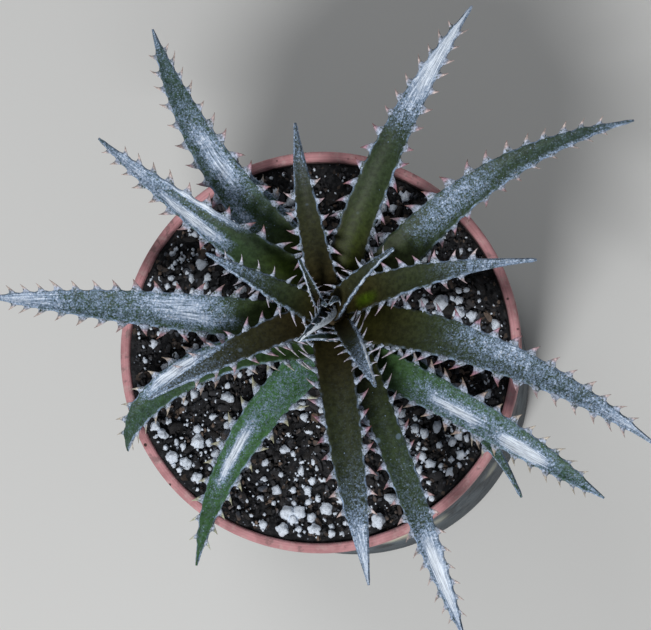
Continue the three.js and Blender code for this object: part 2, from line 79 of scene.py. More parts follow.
# From the lowest leaf to the heart. azimuth is counted anticlockwise from +X, fall is the slope
# of the tip. reach, width, root (sideways offset at the stem), bow (sideways bend), tip (height)
# and start (distance from the stem's axis) are lengths. A low taper gives a long, narrow point and
# a high cup a folded blade. thin scales the thickness, and roll gives the share of the left half
# that stays flat and the angle that the rest turns through. silver gives the share of the blade
# where the silver scales begin, the share where they are fullest and how much they then cover.
# outer is how much they cover on the lower face, and rim adds to it at the margins. fresh and dark
# tint the flesh. sheen and glow are patches: share along, half-length, side from -1 to 1,
# half-breadth and strength. sheen adds to the scales' cover and is mostly painted highlight, with
# some pale margins and frost; glow is a painted glow, bright green at some roots. teeth is the size
# of the left and of the right margin's teeth, and last the share of the blade where they end.
LEAVES = (
    dict(name="leaf_north_west_low", level=0, azimuth=125, reach=60, width=9.5, taper=2.2,
         root=0, bow=-2, tip=128, fall=5, silver=(0.1, 0.6, 0.5), fresh=0.35, dark=0.1),
    dict(name="leaf_south_west", level=0, azimuth=240.8, reach=85, width=11.8, taper=2.6,
         root=3.8, bow=-7.5, tip=127, fall=-8, silver=(0.0, 0.2, 0.1), fresh=1.0, dark=0,
         sheen=((0.57, 0.15, -0.12, 0.42, 1.3), (0.56, 0.24, -0.12, 0.8, 0.35),
                (0.24, 0.22, 0, 1.2, 0.25))),
    dict(name="leaf_south_east_low", level=0, azimuth=315, reach=77, width=9, taper=1.8,
         root=-3.5, bow=7.5, tip=125, fall=-8, silver=(0.5, 0.95, 0.28), fresh=0.55, dark=0.2,
         last=0.78),
    dict(name="leaf_north_west", level=1, azimuth=122.4, reach=99.5, width=12.7, taper=2.8,
         root=-4, bow=7.4, tip=140, fall=-5, silver=(0.2, 0.5, 0.22), fresh=0.1, dark=0,
         sheen=((0.54, 0.15, -0.15, 0.85, 0.9), (0.37, 0.09, 0.55, 0.4, 0.6),
                (0.68, 0.1, 0.1, 1.1, 0.25), (1.0, 0.1, 0, 1.3, 0.4))),
    dict(name="leaf_west_south_west_low", level=1, azimuth=212, reach=75, width=10.4, taper=5,
         root=7, bow=-11.5, tip=118, fall=-60, silver=(0.3, 0.7, 0.1), fresh=0.5, dark=0.2,
         sheen=((0.6, 0.18, -0.55, 0.5, 1.6),)),
    dict(name="leaf_east_south_east", level=1, azimuth=325, reach=96, width=10.4, taper=4,
         root=-7.5, bow=1.8, tip=134, fall=-12, silver=(0.1, 0.5, 0.24), fresh=0.5, dark=0,
         sheen=((0.46, 0.2, -0.2, 0.8, 0.7), (0.46, 0.11, -0.25, 0.3, 0.8),
                (0.71, 0.14, -0.3, 1.1, 0.6), (0.71, 0.1, -0.35, 0.6, 1.65),
                (0.95, 0.1, 0, 1.2, 0.4))),
    dict(name="leaf_west", level=2, azimuth=177.5, reach=102, width=12, taper=3,
         root=4, bow=0, tip=144, fall=-10, silver=(0.18, 0.5, 0.42), fresh=0.15, dark=0.1,
         sheen=((0.41, 0.16, -0.4, 0.75, 0.7), (0.36, 0.14, 0.3, 0.4, 0.7),
                (0.9, 0.17, 0, 1.4, 0.7))),
    dict(name="leaf_south_south_east", level=2, azimuth=292, reach=103.5, width=8.6, taper=4,
         root=1.5, bow=0.7, tip=146, fall=-8, silver=(0.35, 0.85, 0.36), fresh=0.1, dark=0.4,
         sheen=((0.83, 0.22, 0.1, 1.3, 1.05), (0.79, 0.12, -0.1, 0.6, 0.7),
                (0.35, 0.4, 0, 1.6, 0.05))),
    dict(name="leaf_north_east", level=2, azimuth=31, reach=103, width=13.6, taper=1.75,
         root=-4, bow=10, tip=148, fall=-5, silver=(0.3, 0.55, 0.12), fresh=0.1, dark=0.25,
         sheen=((0.44, 0.18, 0.2, 1.1, 0.58), (0.75, 0.25, -0.85, 0.35, 0.5),
                (0.97, 0.1, 0, 1.3, 0.35)), teeth=(0.95, 0.7)),
    dict(name="leaf_west_north_west", level=3, azimuth=143.5, reach=84, width=12.4, taper=1.8,
         root=-2.5, bow=2.2, tip=150, fall=-5, silver=(0.35, 0.9, 0.6), fresh=0.1, dark=0.05,
         sheen=((0.56, 0.18, 0.45, 0.55, 1.4), (0.56, 0.2, -0.85, 0.35, 1.3),
                (0.82, 0.18, 0, 1.4, 0.35)),
         glow=((0.2, 0.12, -0.3, 0.6, 0.5),)),
    dict(name="leaf_south", level=3, azimuth=278, reach=81, width=11.3, taper=3,
         root=-2.5, bow=0.5, tip=146, fall=-15, silver=(0.45, 1.0, 0.58), fresh=0, dark=0.65,
         sheen=((0.9, 0.18, 0, 1.3, 0.65), (0.6, 0.5, 0.4, 1.5, 0.05)), last=0.74),
    dict(name="leaf_east", level=3, azimuth=336.5, reach=102, width=12.5, taper=2.2,
         root=-1, bow=6.3, tip=150, fall=-10, silver=(0.2, 0.62, 0.46), fresh=0, dark=0.25,
         sheen=((0.48, 0.16, 0.4, 0.7, 0.35), (0.92, 0.16, 0, 1.3, 0.6))),
    dict(name="leaf_north_north_east", level=3, azimuth=64, reach=96, width=10.6, taper=2.6,
         root=2, bow=3.4, tip=154, fall=0, silver=(0.45, 0.85, 0.66), fresh=0, dark=0.3,
         sheen=((0.78, 0.23, 0, 1.3, 0.85), (0.95, 0.12, 0, 1.3, 0.35)),
         glow=((0.2, 0.2, 0, 0.9, 0.25),)),
    dict(name="leaf_west_south_west", level=4, azimuth=206.5, reach=59, width=8.8, taper=2.5,
         root=-1, bow=-1, tip=146, fall=-15, silver=(0.35, 1.0, 0.4), fresh=0, dark=0.9,
         sheen=((0.85, 0.35, -0.95, 0.5, 1.2), (0.9, 0.3, 0.95, 0.35, 0.7)), last=0.8),
    dict(name="leaf_north", level=4, azimuth=99, reach=52, width=8.5, taper=2.6,
         root=1, bow=1, tip=164, fall=15, silver=(0.6, 1.0, 0.45), fresh=0, dark=0.85, last=0.72),
    dict(name="leaf_east_upper", level=4, azimuth=11.5, reach=61.5, width=10.2, taper=1.4,
         root=2.5, bow=2, tip=154, fall=0, silver=(0.42, 0.95, 0.85), fresh=0, dark=0.55, last=0.72,
         glow=((0.14, 0.08, -0.4, 0.5, 0.9),)),
    dict(name="leaf_inner_west", level=5, azimuth=157, reach=37, width=8.2, taper=1.8,
         root=1.5, bow=0.5, tip=162, fall=20, silver=(0.35, 1.0, 0.6), fresh=0, dark=0.4,
         sheen=((0.6, 0.5, 1.0, 0.25, 0.6),)),
    dict(name="leaf_inner_north_east", level=5, azimuth=36.5, reach=25, width=7.2, taper=1.2,
         start=-0.5, root=0.4, bow=1.2, tip=164, fall=40, silver=(0.6, 1.0, 0.3), fresh=0,
         dark=0.85, sheen=((0.6, 0.6, -1.0, 0.14, 1.4),), teeth=(1.0, 0)),
    dict(name="leaf_inner_south_east", level=5, azimuth=301, reach=28.5, width=5.8, taper=3.2,
         root=0.3, bow=0.5, tip=162, fall=25, silver=(0.3, 0.8, 0.6), fresh=0, dark=0.75,
         sheen=((0.75, 0.35, 0.95, 0.3, 1.4), (0.3, 0.3, 0.9, 0.3, 0.5))),
    dict(name="leaf_inner_south_west", level=5, azimuth=227, reach=13, width=3.4, taper=2.5,
         cup=0.6, start=4.8, root=5.4, bow=1, tip=146, fall=0, silver=(0.0, 0.3, 0.12),
         fresh=0.3, dark=0.5, teeth=(0.4, 0), thin=0.6,
         sheen=((0.5, 0.9, 1.0, 0.4, 1.2), (0.5, 0.9, -1.0, 0.4, 1.2))),
    dict(name="leaf_innermost_north_west", level=6, azimuth=120, reach=14, width=2.8, taper=2.5,
         cup=0.8, root=2.6, bow=0, tip=164, fall=40, silver=(0.0, 0.5, 0.05), fresh=0, dark=0.8,
         sheen=((0.5, 0.7, 1.0, 0.3, 1.6), (0.5, 0.7, -1.0, 0.3, 1.1)), teeth=(0.2, 0.2),
         thin=0.5),
    dict(name="leaf_innermost_south_west", level=6, azimuth=232.5, reach=13.5, width=5.2,
         taper=2.4, cup=0.5, start=0.9, root=-1.3, bow=1.3, tip=156, fall=-10,
         roll=(0.5, 170), silver=(0.0, 0.2, 0.25), fresh=0, dark=0.6, teeth=(0.4, 0.9),
         sheen=((0.5, 0.7, -1.0, 0.2, 0.8),), outer=2.0, thin=0.35),
    dict(name="heart_leaf_east", level=7, azimuth=50, reach=0.4, width=3, taper=2.5, cup=0.8,
         start=3, root=0.5, bow=0, tip=150, fall=170, silver=(0.0, 0.5, 0.1), fresh=0, dark=0.8,
         teeth=(0, 0), outer=0.35, rim=2.8, thin=0.4),
    dict(name="heart_leaf_west", level=7, azimuth=150, reach=0.6, width=2.6, taper=2.5, cup=0.8,
         start=2.4, root=-0.8, bow=0, tip=148, fall=170, silver=(0.0, 0.5, 0.1), fresh=0,
         dark=0.8, teeth=(0, 0), outer=0.35, rim=2.8, thin=0.4),
)
WIDEST = max(leaf["width"] for leaf in LEAVES)


# Settings ------------------------------------------------------------------------------------


def length_setting(name, description, default):
    return bpy.props.FloatProperty(
        name=name, description=description, default=default, min=0, subtype="DISTANCE", unit="LENGTH"
    )


def colour_setting(name, description, default):
    return bpy.props.FloatVectorProperty(
        name=name, description=description, default=default, size=3, min=0, max=1, subtype="COLOR"
    )


def share_setting(name, description, default):
    return bpy.props.FloatProperty(
        name=name, description=description, default=default, min=0, max=1, subtype="FACTOR"
    )


def count_setting(name, description, default):
    return bpy.props.IntProperty(name=name, description=description, default=default, min=0)


def power_setting(name, description, default):
    return bpy.props.FloatProperty(name=name, description=description, default=default, unit="POWER")


def angle_setting(name, description, degrees):
    return bpy.props.FloatProperty(
        name=name, description=description, default=math.radians(degrees), subtype="ANGLE", unit="ROTATION"
    )


class PotSettings(bpy.types.PropertyGroup):
    """Sizes and colours of the clay pot."""

    height: length_setting("Height", "From the underside to the rim", 0.122)
    rim_radius: length_setting("Rim radius", "Outside radius of the lip", 0.060)
    rim_inner_radius: length_setting("Rim opening", "Inside radius at the rim", 0.0573)
    lip_depth: length_setting("Lip depth", "Height of the band under the rim", 0.007)
    lip_overhang: length_setting("Lip overhang", "How far the lip stands out from the wall", 0.0012)
    base_radius: length_setting("Base radius", "Outside radius at the underside", 0.058)
    wall: length_setting("Wall", "Thickness of the wall", 0.0025)
    floor: length_setting("Floor", "Thickness of the floor", 0.005)
    clay: colour_setting("Clay", "Fired clay at the rim", srgb(206, 149, 153))
    clay_dark: colour_setting("Clay in hollows", "Stained clay in specks and lines", srgb(110, 70, 70))
    # Soil stain on the inner wall, partly painted shade there.
    soiled_and_shaded: colour_setting("Soiled clay", "Inside, where the soil stains it", srgb(50, 41, 40))
    lime: colour_setting("Lime", "Pale bloom on the outer wall", srgb(88, 101, 110))
    algae: colour_setting("Algae", "Blue-grey growth on the outer wall", srgb(30, 38, 46))


class SoilSettings(bpy.types.PropertyGroup):
    """Make-up and colours of the soil."""

    depth: length_setting("Depth", "How far the soil lies below the rim", 0.0055)
    dip: length_setting("Dip", "How much lower the soil lies round the stem", 0.001)
    perlite_count: count_setting("Perlite grains", "Number of white grains", 430)
    dust_count: count_setting("Perlite crumbs", "Number of tiny white crumbs", 900)
    bark_count: count_setting("Bark chips", "Number of bark chips", 700)
    crumb_count: count_setting("Crumbs", "Number of small crumbs", 3000)
    seed: bpy.props.IntProperty(name="Seed", description="Chooses another scatter", default=41)
    perlite: colour_setting("Perlite", "Clean perlite", srgb(232, 242, 255))
    perlite_grey: colour_setting("Dusty perlite", "Perlite under a film of soil", srgb(134, 142, 155))
    peat: colour_setting("Peat", "Fine soil between the chips", srgb(13, 15, 19))
    bark: colour_setting("Bark", "Most bark chips", srgb(38, 38, 41))
    bark_pale: colour_setting("Pale bark", "Fresh bark chips", srgb(106, 90, 78))


class LeafSettings(bpy.types.PropertyGroup):
    """Sizes and colours of the leaves."""

    midrib: length_setting("Midrib", "Thickness of a blade at its midrib", 0.0032)
    edge: length_setting("Edge", "Thickness of a blade at its margins", 0.001)
    tooth_length: length_setting("Tooth length", "A full-grown tooth, out of the margin", 0.0036)
    tooth_foot: length_setting("Tooth foot", "Length of a tooth's foot on the margin", 0.0047)
    tooth_spacing: length_setting("Tooth spacing", "Between teeth at mid-length", 0.0062)
    olive: colour_setting("Olive", "Flesh at the root", srgb(46, 48, 18))
    green: colour_setting("Green", "Flesh at mid-length", srgb(52, 70, 46))
    outer: colour_setting("Outer green", "Flesh towards the tip", srgb(54, 74, 64))
    fresh: colour_setting("Fresh green", "Flesh of the greenest leaves", srgb(70, 110, 64))
    brown: colour_setting("Brown", "Flesh of the sun-darkened leaves", srgb(48, 41, 23))
    # Painted glow: bright green highlights at some roots.
    glow: colour_setting("Glow", "Thin green flesh at some roots", srgb(66, 88, 14))
    silver: colour_setting("Silver", "Scales on the blades", srgb(140, 162, 192))
    # Also the colour of the painted highlights on the blades.
    silver_bright_and_highlight: colour_setting("Bright silver", "Thick layers of scales", srgb(228, 238, 250))
    scale_tan: colour_setting("Tan scales", "Scattered darker scales", srgb(150, 142, 112))
    tooth_foot_colour: colour_setting("Tooth foot", "A tooth where it starts", srgb(178, 190, 212))
    tooth_middle: colour_setting("Tooth middle", "A tooth at mid-length", srgb(170, 130, 148))
    tooth_outer: colour_setting("Outer tooth", "A tooth near a leaf's tip", srgb(208, 190, 186))
    tooth_tip: colour_setting("Tooth tip", "The hooked end of a tooth", srgb(116, 66, 58))
    tooth_young: colour_setting("Young tooth", "A tooth near the heart", srgb(200, 196, 210))
    tooth_fresh: colour_setting("Fresh tooth", "A tooth on a green leaf", srgb(176, 184, 150))


class StageSettings(bpy.types.PropertyGroup):
    """The floor, the lamps and the camera."""

    floor: colour_setting("Floor", "Plain pale floor", srgb(226, 226, 224))
    key_power: power_setting("Key light", "Power of the large soft lamp", 13.0)
    fill_power: power_setting("Fill light", "Power of the second lamp", 2.8)
    sky: share_setting("Sky", "Strength of the light from all round", 0.16)
    distance: length_setting("Camera distance", "From the camera to the rosette", 0.9)
    tilt: angle_setting("Camera tilt", "Angle between the view and the vertical", 8.1)
    turn: angle_setting("Camera turn", "Side that the camera looks from, anticlockwise from +X", -44.5)


# Helpers for numbers and meshes --------------------------------------------------------------


def blend_between(low, high, share):
    return low + (high - low) * share


def ease(low, high, value):
    """0 below low, 1 above high, and smooth between them."""
    share = min(max((value - low) / (high - low), 0), 1)
    return share * share * (3 - 2 * share)


PATCH_FADE = 1.2


def patch_strength(patches, share, side):
    """The summed strength of soft-edged patches at one place on a blade."""
    total = 0.0
    for spot, reach, middle, breadth, strength in patches:
        along = 1 - ((share - spot) / reach) ** 2
        across = 1 - ((side - middle) / breadth) ** 2
        if along > 0 and across > 0:
            total += strength * (along * across) ** PATCH_FADE
    return total


def finished_piece(name, mesh, materials, slot, *nodes):
    """Makes a bmesh a named object that rides on the body, and hides the CAD nodes it replaces."""
    data = bpy.data.meshes.new(name)
    mesh.to_mesh(data)
    mesh.free()
    for material in materials:
        data.materials.append(material)
    piece = bpy.data.objects.new(name, data)
    bpy.context.scene.collection.objects.link(piece)
    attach(piece, BODY)
    if nodes:
        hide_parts(*nodes)


def smooth_faces(mesh):
    for face in mesh.faces:
        face.smooth = True


SAME_PLACE = 1e-6
ON_RING = 2e-4
DRILL_SIDES = 40


def spun(points, steps, centre=(0, 0, 0)):
    """A solid of revolution about +Z from (radius, height) points that start and end on the axis."""
    mesh = bmesh.new()
    spots = [mesh.verts.new((radius, 0, height)) for radius, height in points]
    edges = [mesh.edges.new(pair) for pair in zip(spots, spots[1:])]
    bmesh.ops.spin(
        mesh, geom=spots + edges, cent=(0, 0, 0), axis=UP, dvec=(0, 0, 0), angle=2 * math.pi,
        steps=steps, use_merge=True, use_normal_flip=False, use_duplicate=False,
    )
    bmesh.ops.remove_doubles(mesh, verts=mesh.verts, dist=SAME_PLACE)
    bmesh.ops.translate(mesh, verts=mesh.verts, vec=centre)
    bmesh.ops.recalc_face_normals(mesh, faces=mesh.faces)
    smooth_faces(mesh)
    return mesh


def ring_edges(mesh, radius, height):
    """The edges of the ring that runs round the axis at a radius and a height."""

    def on_ring(spot):
        away = math.hypot(spot.co.x, spot.co.y)
        return abs(away - radius) < ON_RING and abs(spot.co.z - height) < ON_RING

    return [edge for edge in mesh.edges if on_ring(edge.verts[0]) and on_ring(edge.verts[1])]


def round_ring(mesh, radius, height, offset, segments):
    edges = ring_edges(mesh, radius, height)
    bmesh.ops.bevel(
        mesh, geom=edges, offset=offset, segments=segments, profile=0.5, affect="EDGES", material=-1
    )


def bored(mesh, holes):
    """The mesh with upright round holes taken out, given as (x, y, low, high, radius)."""
    body = bpy.data.objects.new("bored_body", bpy.data.meshes.new("bored_body"))
    drill = bpy.data.objects.new("drill", bpy.data.meshes.new("drill"))
    mesh.to_mesh(body.data)
    mesh.free()
    bits = bmesh.new()
    for x, y, low, high, radius in holes:
        place = Matrix.Translation((x, y, (low + high) / 2))
        bmesh.ops.create_cone(
            bits, cap_ends=True, segments=DRILL_SIDES, radius1=radius, radius2=radius, depth=high - low,
            matrix=place,
        )
    bits.to_mesh(drill.data)
    bits.free()
    for helper in (body, drill):
        bpy.context.scene.collection.objects.link(helper)
    cut = body.modifiers.new("Bore", "BOOLEAN")
    cut.operation = "DIFFERENCE"
    cut.solver = "EXACT"
    cut.object = drill
    bpy.context.view_layer.update()
    result = bmesh.new()
    result.from_object(body, bpy.context.evaluated_depsgraph_get())
    for helper in (body, drill):
        data = helper.data
        bpy.data.objects.remove(helper)
        bpy.data.meshes.remove(data)
    return result


# Helpers for materials -----------------------------------------------------------------------

MIX_FACTOR, MIX_A, MIX_B, MIX_RESULT = 0, 6, 7, 2
DOT_FADE = 0.04


class Weave:
    """Adds and links the nodes of one material or node group."""

    def __init__(self, tree):
        self.tree = tree

    def add(self, kind, feeds=None, **options):
        node = self.tree.nodes.new(kind)
        for option, value in options.items():
            setattr(node, option, value)
        for socket, value in (feeds or {}).items():
            self.feed(node.inputs[socket], value)
        return node

    def feed(self, socket, value):
        if isinstance(value, bpy.types.NodeSocket):
            self.tree.links.new(value, socket)
        elif socket.type == "RGBA":
            socket.default_value = (*value, 1)
        else:
            socket.default_value = value

    def maths(self, operation, first, second=0.0):
        return self.add("ShaderNodeMath", {0: first, 1: second}, operation=operation).outputs[0]

    def plus(self, first, second):
        return self.maths("ADD", first, second)

    def minus(self, first, second):
        return self.maths("SUBTRACT", first, second)

    def times(self, first, second):
        return self.maths("MULTIPLY", first, second)

    def larger(self, first, second):
        return self.maths("MAXIMUM", first, second)

    def mix(self, factor, first, second):
        feeds = {MIX_FACTOR: factor, MIX_A: first, MIX_B: second}
        return self.add("ShaderNodeMix", feeds, data_type="RGBA").outputs[MIX_RESULT]

    def shaded(self, colour, value):
        """The colour made lighter or darker by a value round 1."""
        node = self.add("ShaderNodeHueSaturation", {"Color": colour, "Value": value})
        return node.outputs["Color"]

    def remap(self, value, low, high, to_low=0.0, to_high=1.0):
        """An eased step from to_low at low to to_high at high."""
        feeds = {"Value": value, "From Min": low, "From Max": high, "To Min": to_low, "To Max": to_high}
        return self.add("ShaderNodeMapRange", feeds, interpolation_type="SMOOTHSTEP").outputs["Result"]

    def noise(self, place, scale, detail=3.0, roughness=0.5, distortion=0.0):
        feeds = {"Vector": place, "Scale": scale, "Detail": detail, "Roughness": roughness}
        return self.add("ShaderNodeTexNoise", {**feeds, "Distortion": distortion}).outputs["Fac"]

    def cells(self, place, scale):
        return self.add("ShaderNodeTexVoronoi", {"Vector": place, "Scale": scale}).outputs

    def dots(self, place, scale, reach, core, bare):
        """Soft round dots of a radius, in all cells but a bare share of them."""
        cells = self.cells(place, scale)
        return self.times(
            self.remap(cells["Distance"], reach, core), self.remap(cells["Color"], bare, bare + DOT_FADE)
        )

    def mottling(self, place, scale, low, high):
        return self.shared("Mottling", "Mask", mottled, place, Scale=scale, Low=low, High=high)

    def grain(self, place, scale, coarse):
        return self.shared("Grain", "Height", grained, place, Scale=scale, Coarse=coarse)

    def scales(self, place, coverage, streak=0.0, contrast=1.0):
        feeds = {"Coverage": coverage, "Streak": streak, "Contrast": contrast}
        return self.shared("Silver scales", "Level", scaled, place, **feeds)

    def joined(self, x, y):
        return self.add("ShaderNodeCombineXYZ", {"X": x, "Y": y}).outputs["Vector"]

    def length(self, vector):
        return self.add("ShaderNodeVectorMath", {0: vector}, operation="LENGTH").outputs["Value"]

    def stretched(self, place, scale):
        return self.add("ShaderNodeMapping", {"Vector": place, "Scale": scale}).outputs["Vector"]

    def place(self):
        return self.add("ShaderNodeTexCoord").outputs["Object"]

    def attribute(self, name):
        return self.add("ShaderNodeAttribute", attribute_name=name).outputs["Fac"]

    def shared(self, name, output, fill, place, **feeds):
        """The output of a node group of float inputs, which fill lays out on its first use."""
        if name not in bpy.data.node_groups:
            new_group(name, output, fill, feeds)
        node = self.add("ShaderNodeGroup", node_tree=bpy.data.node_groups[name])
        for label, value in {"Place": place, **feeds}.items():
            self.feed(node.inputs[label], value)
        return node.outputs[output]


class Skin(Weave):
    """The nodes of one new material."""

    def __init__(self, name):
        self.material = bpy.data.materials.new(name)
        self.material.use_nodes = True
        super().__init__(self.material.node_tree)
        self.shader = self.tree.nodes["Principled BSDF"]

    def finished(self, colour, roughness, height, distance, strength=1.0):
        """The material, with its colour, roughness and relief linked to the shader."""
        bump = self.add("ShaderNodeBump", {"Height": height, "Distance": distance, "Strength": strength})
        self.feed(self.shader.inputs["Base Color"], colour)
        self.feed(self.shader.inputs["Roughness"], roughness)
        self.feed(self.shader.inputs["Normal"], bump.outputs["Normal"])
        return self.material


def new_group(name, output, fill, labels):
    group = bpy.data.node_groups.new(name, "ShaderNodeTree")
    group.interface.new_socket("Place", in_out="INPUT", socket_type="NodeSocketVector")
    for label in labels:
        group.interface.new_socket(label, in_out="INPUT", socket_type="NodeSocketFloat")
    group.interface.new_socket(output, in_out="OUTPUT", socket_type="NodeSocketFloat")
    weave = Weave(group)
    given = weave.add("NodeGroupInput").outputs
    weave.feed(weave.add("NodeGroupOutput").inputs[output], fill(weave, given["Place"], given))


def mottled(weave, place, given):
    """Soft, uneven patches, as of stain, bloom and dust."""
    broad = weave.noise(place, given["Scale"], detail=5.0, roughness=0.62, distortion=0.3)
    return weave.remap(broad, given["Low"], given["High"])


def grained(weave, place, given):
    """Fine pores and grains over a coarser unevenness, for the relief of a surface."""
    fine = weave.noise(place, given["Scale"], detail=4.0, roughness=0.65)
    coarse = weave.noise(place, weave.times(given["Scale"], 0.18), detail=3.0)
    return weave.plus(fine, weave.times(coarse, given["Coarse"]))


def scaled(weave, place, given):
    """Silver scales: the level rises with the coverage and varies from fleck to fleck."""
    coverage = given["Coverage"]
    net = weave.noise(place, 1800.0, detail=3.0, roughness=0.75, distortion=0.7)
    cloud = weave.noise(place, 400.0, detail=4.0, roughness=0.65)
    dots = weave.cells(place, 1500.0)["Distance"]
    flecks = weave.times(weave.minus(net, 0.5), 6.5)
    clouds = weave.times(weave.minus(cloud, 0.5), 3.2)
    specks = weave.times(weave.minus(0.45, dots), 1.6)
    uneven = weave.plus(weave.plus(flecks, specks), clouds)
    bare = weave.minus(1.3, weave.times(coverage, 0.85))
    room = weave.times(coverage, weave.larger(bare, 0.2))
    uneven = weave.times(weave.times(uneven, given["Contrast"]), room)
    return weave.plus(coverage, weave.plus(uneven, given["Streak"]))


# Pot -----------------------------------------------------------------------------------------

POT_STEPS = 160
RIM_ROUNDING = 0.8 * MM
BASE_ROUNDING = 1.5 * MM
COLLAR_DEPTH = 9 * MM
DRAIN_COUNT = 6
DRAIN_RADIUS = 4 * MM
DRAIN_CIRCLE = 30 * MM
SHARP_CORNER = math.radians(40)


class PotForm:
    """The pot's radii at any height."""

    def __init__(self, pot):
        self.pot = pot
        self.lip_bottom = pot.height - pot.lip_depth
        self.wall_top = pot.rim_radius - pot.lip_overhang
        self.collar_bottom = pot.height - COLLAR_DEPTH

    def outside(self, height):
        return blend_between(self.pot.base_radius, self.wall_top, height / self.lip_bottom)

    def inside(self, height):
        if height <= self.collar_bottom:
            return self.outside(height) - self.pot.wall
        foot = self.outside(self.collar_bottom) - self.pot.wall
        share = (height - self.collar_bottom) / COLLAR_DEPTH
        return blend_between(foot, self.pot.rim_inner_radius, share)

    def wall_heights(self):
        return (share * self.lip_bottom for share in (0.25, 0.5, 0.75))

    def profile(self):
        pot = self.pot
        return [
            (0, 0),
            (pot.base_radius, 0),
            *((self.outside(height), height) for height in self.wall_heights()),
            (self.wall_top, self.lip_bottom),
            (pot.rim_radius, self.lip_bottom),
            (pot.rim_radius, pot.height),
            (pot.rim_inner_radius, pot.height),
            (self.inside(self.collar_bottom), self.collar_bottom),
            (self.inside(pot.floor), pot.floor),
            (0, pot.floor),
        ]


CLAY_DUST = srgb(206, 182, 178)
CLAY_SPECK = srgb(64, 44, 40)
WORN_CLAY = srgb(116, 96, 96)
LIME_CRUST = srgb(160, 166, 168)
WALL_HIGHLIGHT = srgb(234, 230, 206)
DARK_MARK_AND_SHADE = srgb(28, 30, 34)
LIP_EDGE = 0.4 * MM
LIP_SHADE_DEPTH = 2.5 * MM
WALL_BAND = (1.6 * MM, 0.6 * MM)
STAIN_AND_SHADE_EDGE = 0.4 * MM
STAIN_AND_SHADE_DEPTHS = (2.0 * MM, 3.6 * MM)
STAIN_AND_SHADE_RAGGEDNESS = 1.6 * MM
MARK_RAGGEDNESS = 1.2
MARK_REACH = 1.9
MARK_CORE = 0.6

# Painted highlights (the pale ones) and dark marks on the outer wall, as azimuth in degrees,
# height, half-width and half-height in millimetres, and strength
HIGHLIGHT_SPOTS = ((-68, 92, 8, 26, 0.9), (-57, 70, 4, 16, 0.4), (-34, 62, 4, 12, 0.4))
DARK_SPOTS = ((-41.5, 84, 3, 14, 0.8), (-49, 98, 4.5, 10, 0.85), (-76, 60, 4, 20, 0.6))


def wall_marks(skin, place, pot, marks):
    """A mask of soft-edged upright patches on the wall, for the dark marks and the painted highlights."""
    rough = skin.times(skin.noise(place, 300.0, detail=4.0), MARK_RAGGEDNESS)
    mask = 0.0
    for azimuth, height, half_width, half_height, strength in marks:
        turn = math.radians(azimuth)
        middle = (pot.base_radius * math.cos(turn), pot.base_radius * math.sin(turn), height * MM)
        scale = (1 / (half_width * MM), 1 / (half_width * MM), 1 / (half_height * MM))
        moved = tuple(-part * factor for part, factor in zip(middle, scale))
        feeds = {"Vector": place, "Location": moved, "Scale": scale}
        away = skin.length(skin.add("ShaderNodeMapping", feeds).outputs["Vector"])
        mark = skin.remap(skin.plus(away, rough), MARK_REACH, MARK_CORE, 0.0, strength)
        mask = skin.larger(mark, mask)
    return mask


def clay_colour(skin, place, pot, lines, mottle, specks):
    """Fired clay with turning lines, stains, dust, dark specks and worn places."""
    clay = skin.mix(skin.times(mottle, 0.35), pot.clay, pot.clay_dark)
    clay = skin.shaded(clay, skin.remap(lines, 0.3, 0.7, 0.9, 1.1))
    dust = skin.mottling(place, scale=420.0, low=0.5, high=0.7)
    clay = skin.mix(skin.times(dust, 0.45), clay, CLAY_DUST)
    clay = skin.mix(specks, clay, CLAY_SPECK)
    worn = skin.mottling(place, scale=230.0, low=0.57, high=0.64)
    return skin.mix(skin.times(worn, 0.55), clay, WORN_CLAY)


def bloom_colour(skin, place, streaked, height, pot, lip_bottom):
    """Lime, algae, crust and dark marks on the wall, painted highlights, and painted shade under the lip.
    """
    growth = skin.mottling(streaked, scale=150.0, low=0.34, high=0.7)
    damp = skin.times(skin.remap(height, 0.7 * pot.height, 0.1 * pot.height), 0.6)
    bloom = skin.mix(skin.larger(growth, damp), pot.lime, pot.algae)
    crust = skin.mottling(place, scale=330.0, low=0.52, high=0.74)
    bloom = skin.mix(skin.times(crust, 0.2), bloom, LIME_CRUST)
    # Painted highlights: pale cream glints on the side of the wall that faces the camera.
    bloom = skin.mix(wall_marks(skin, place, pot, HIGHLIGHT_SPOTS), bloom, WALL_HIGHLIGHT)
    bloom = skin.mix(wall_marks(skin, place, pot, DARK_SPOTS), bloom, DARK_MARK_AND_SHADE)
    # Painted shade: the wall darkens towards the underside of the overhanging lip.
    lip_shade = skin.remap(height, lip_bottom - LIP_SHADE_DEPTH, lip_bottom)
    return skin.mix(skin.times(lip_shade, 0.6), bloom, DARK_MARK_AND_SHADE)


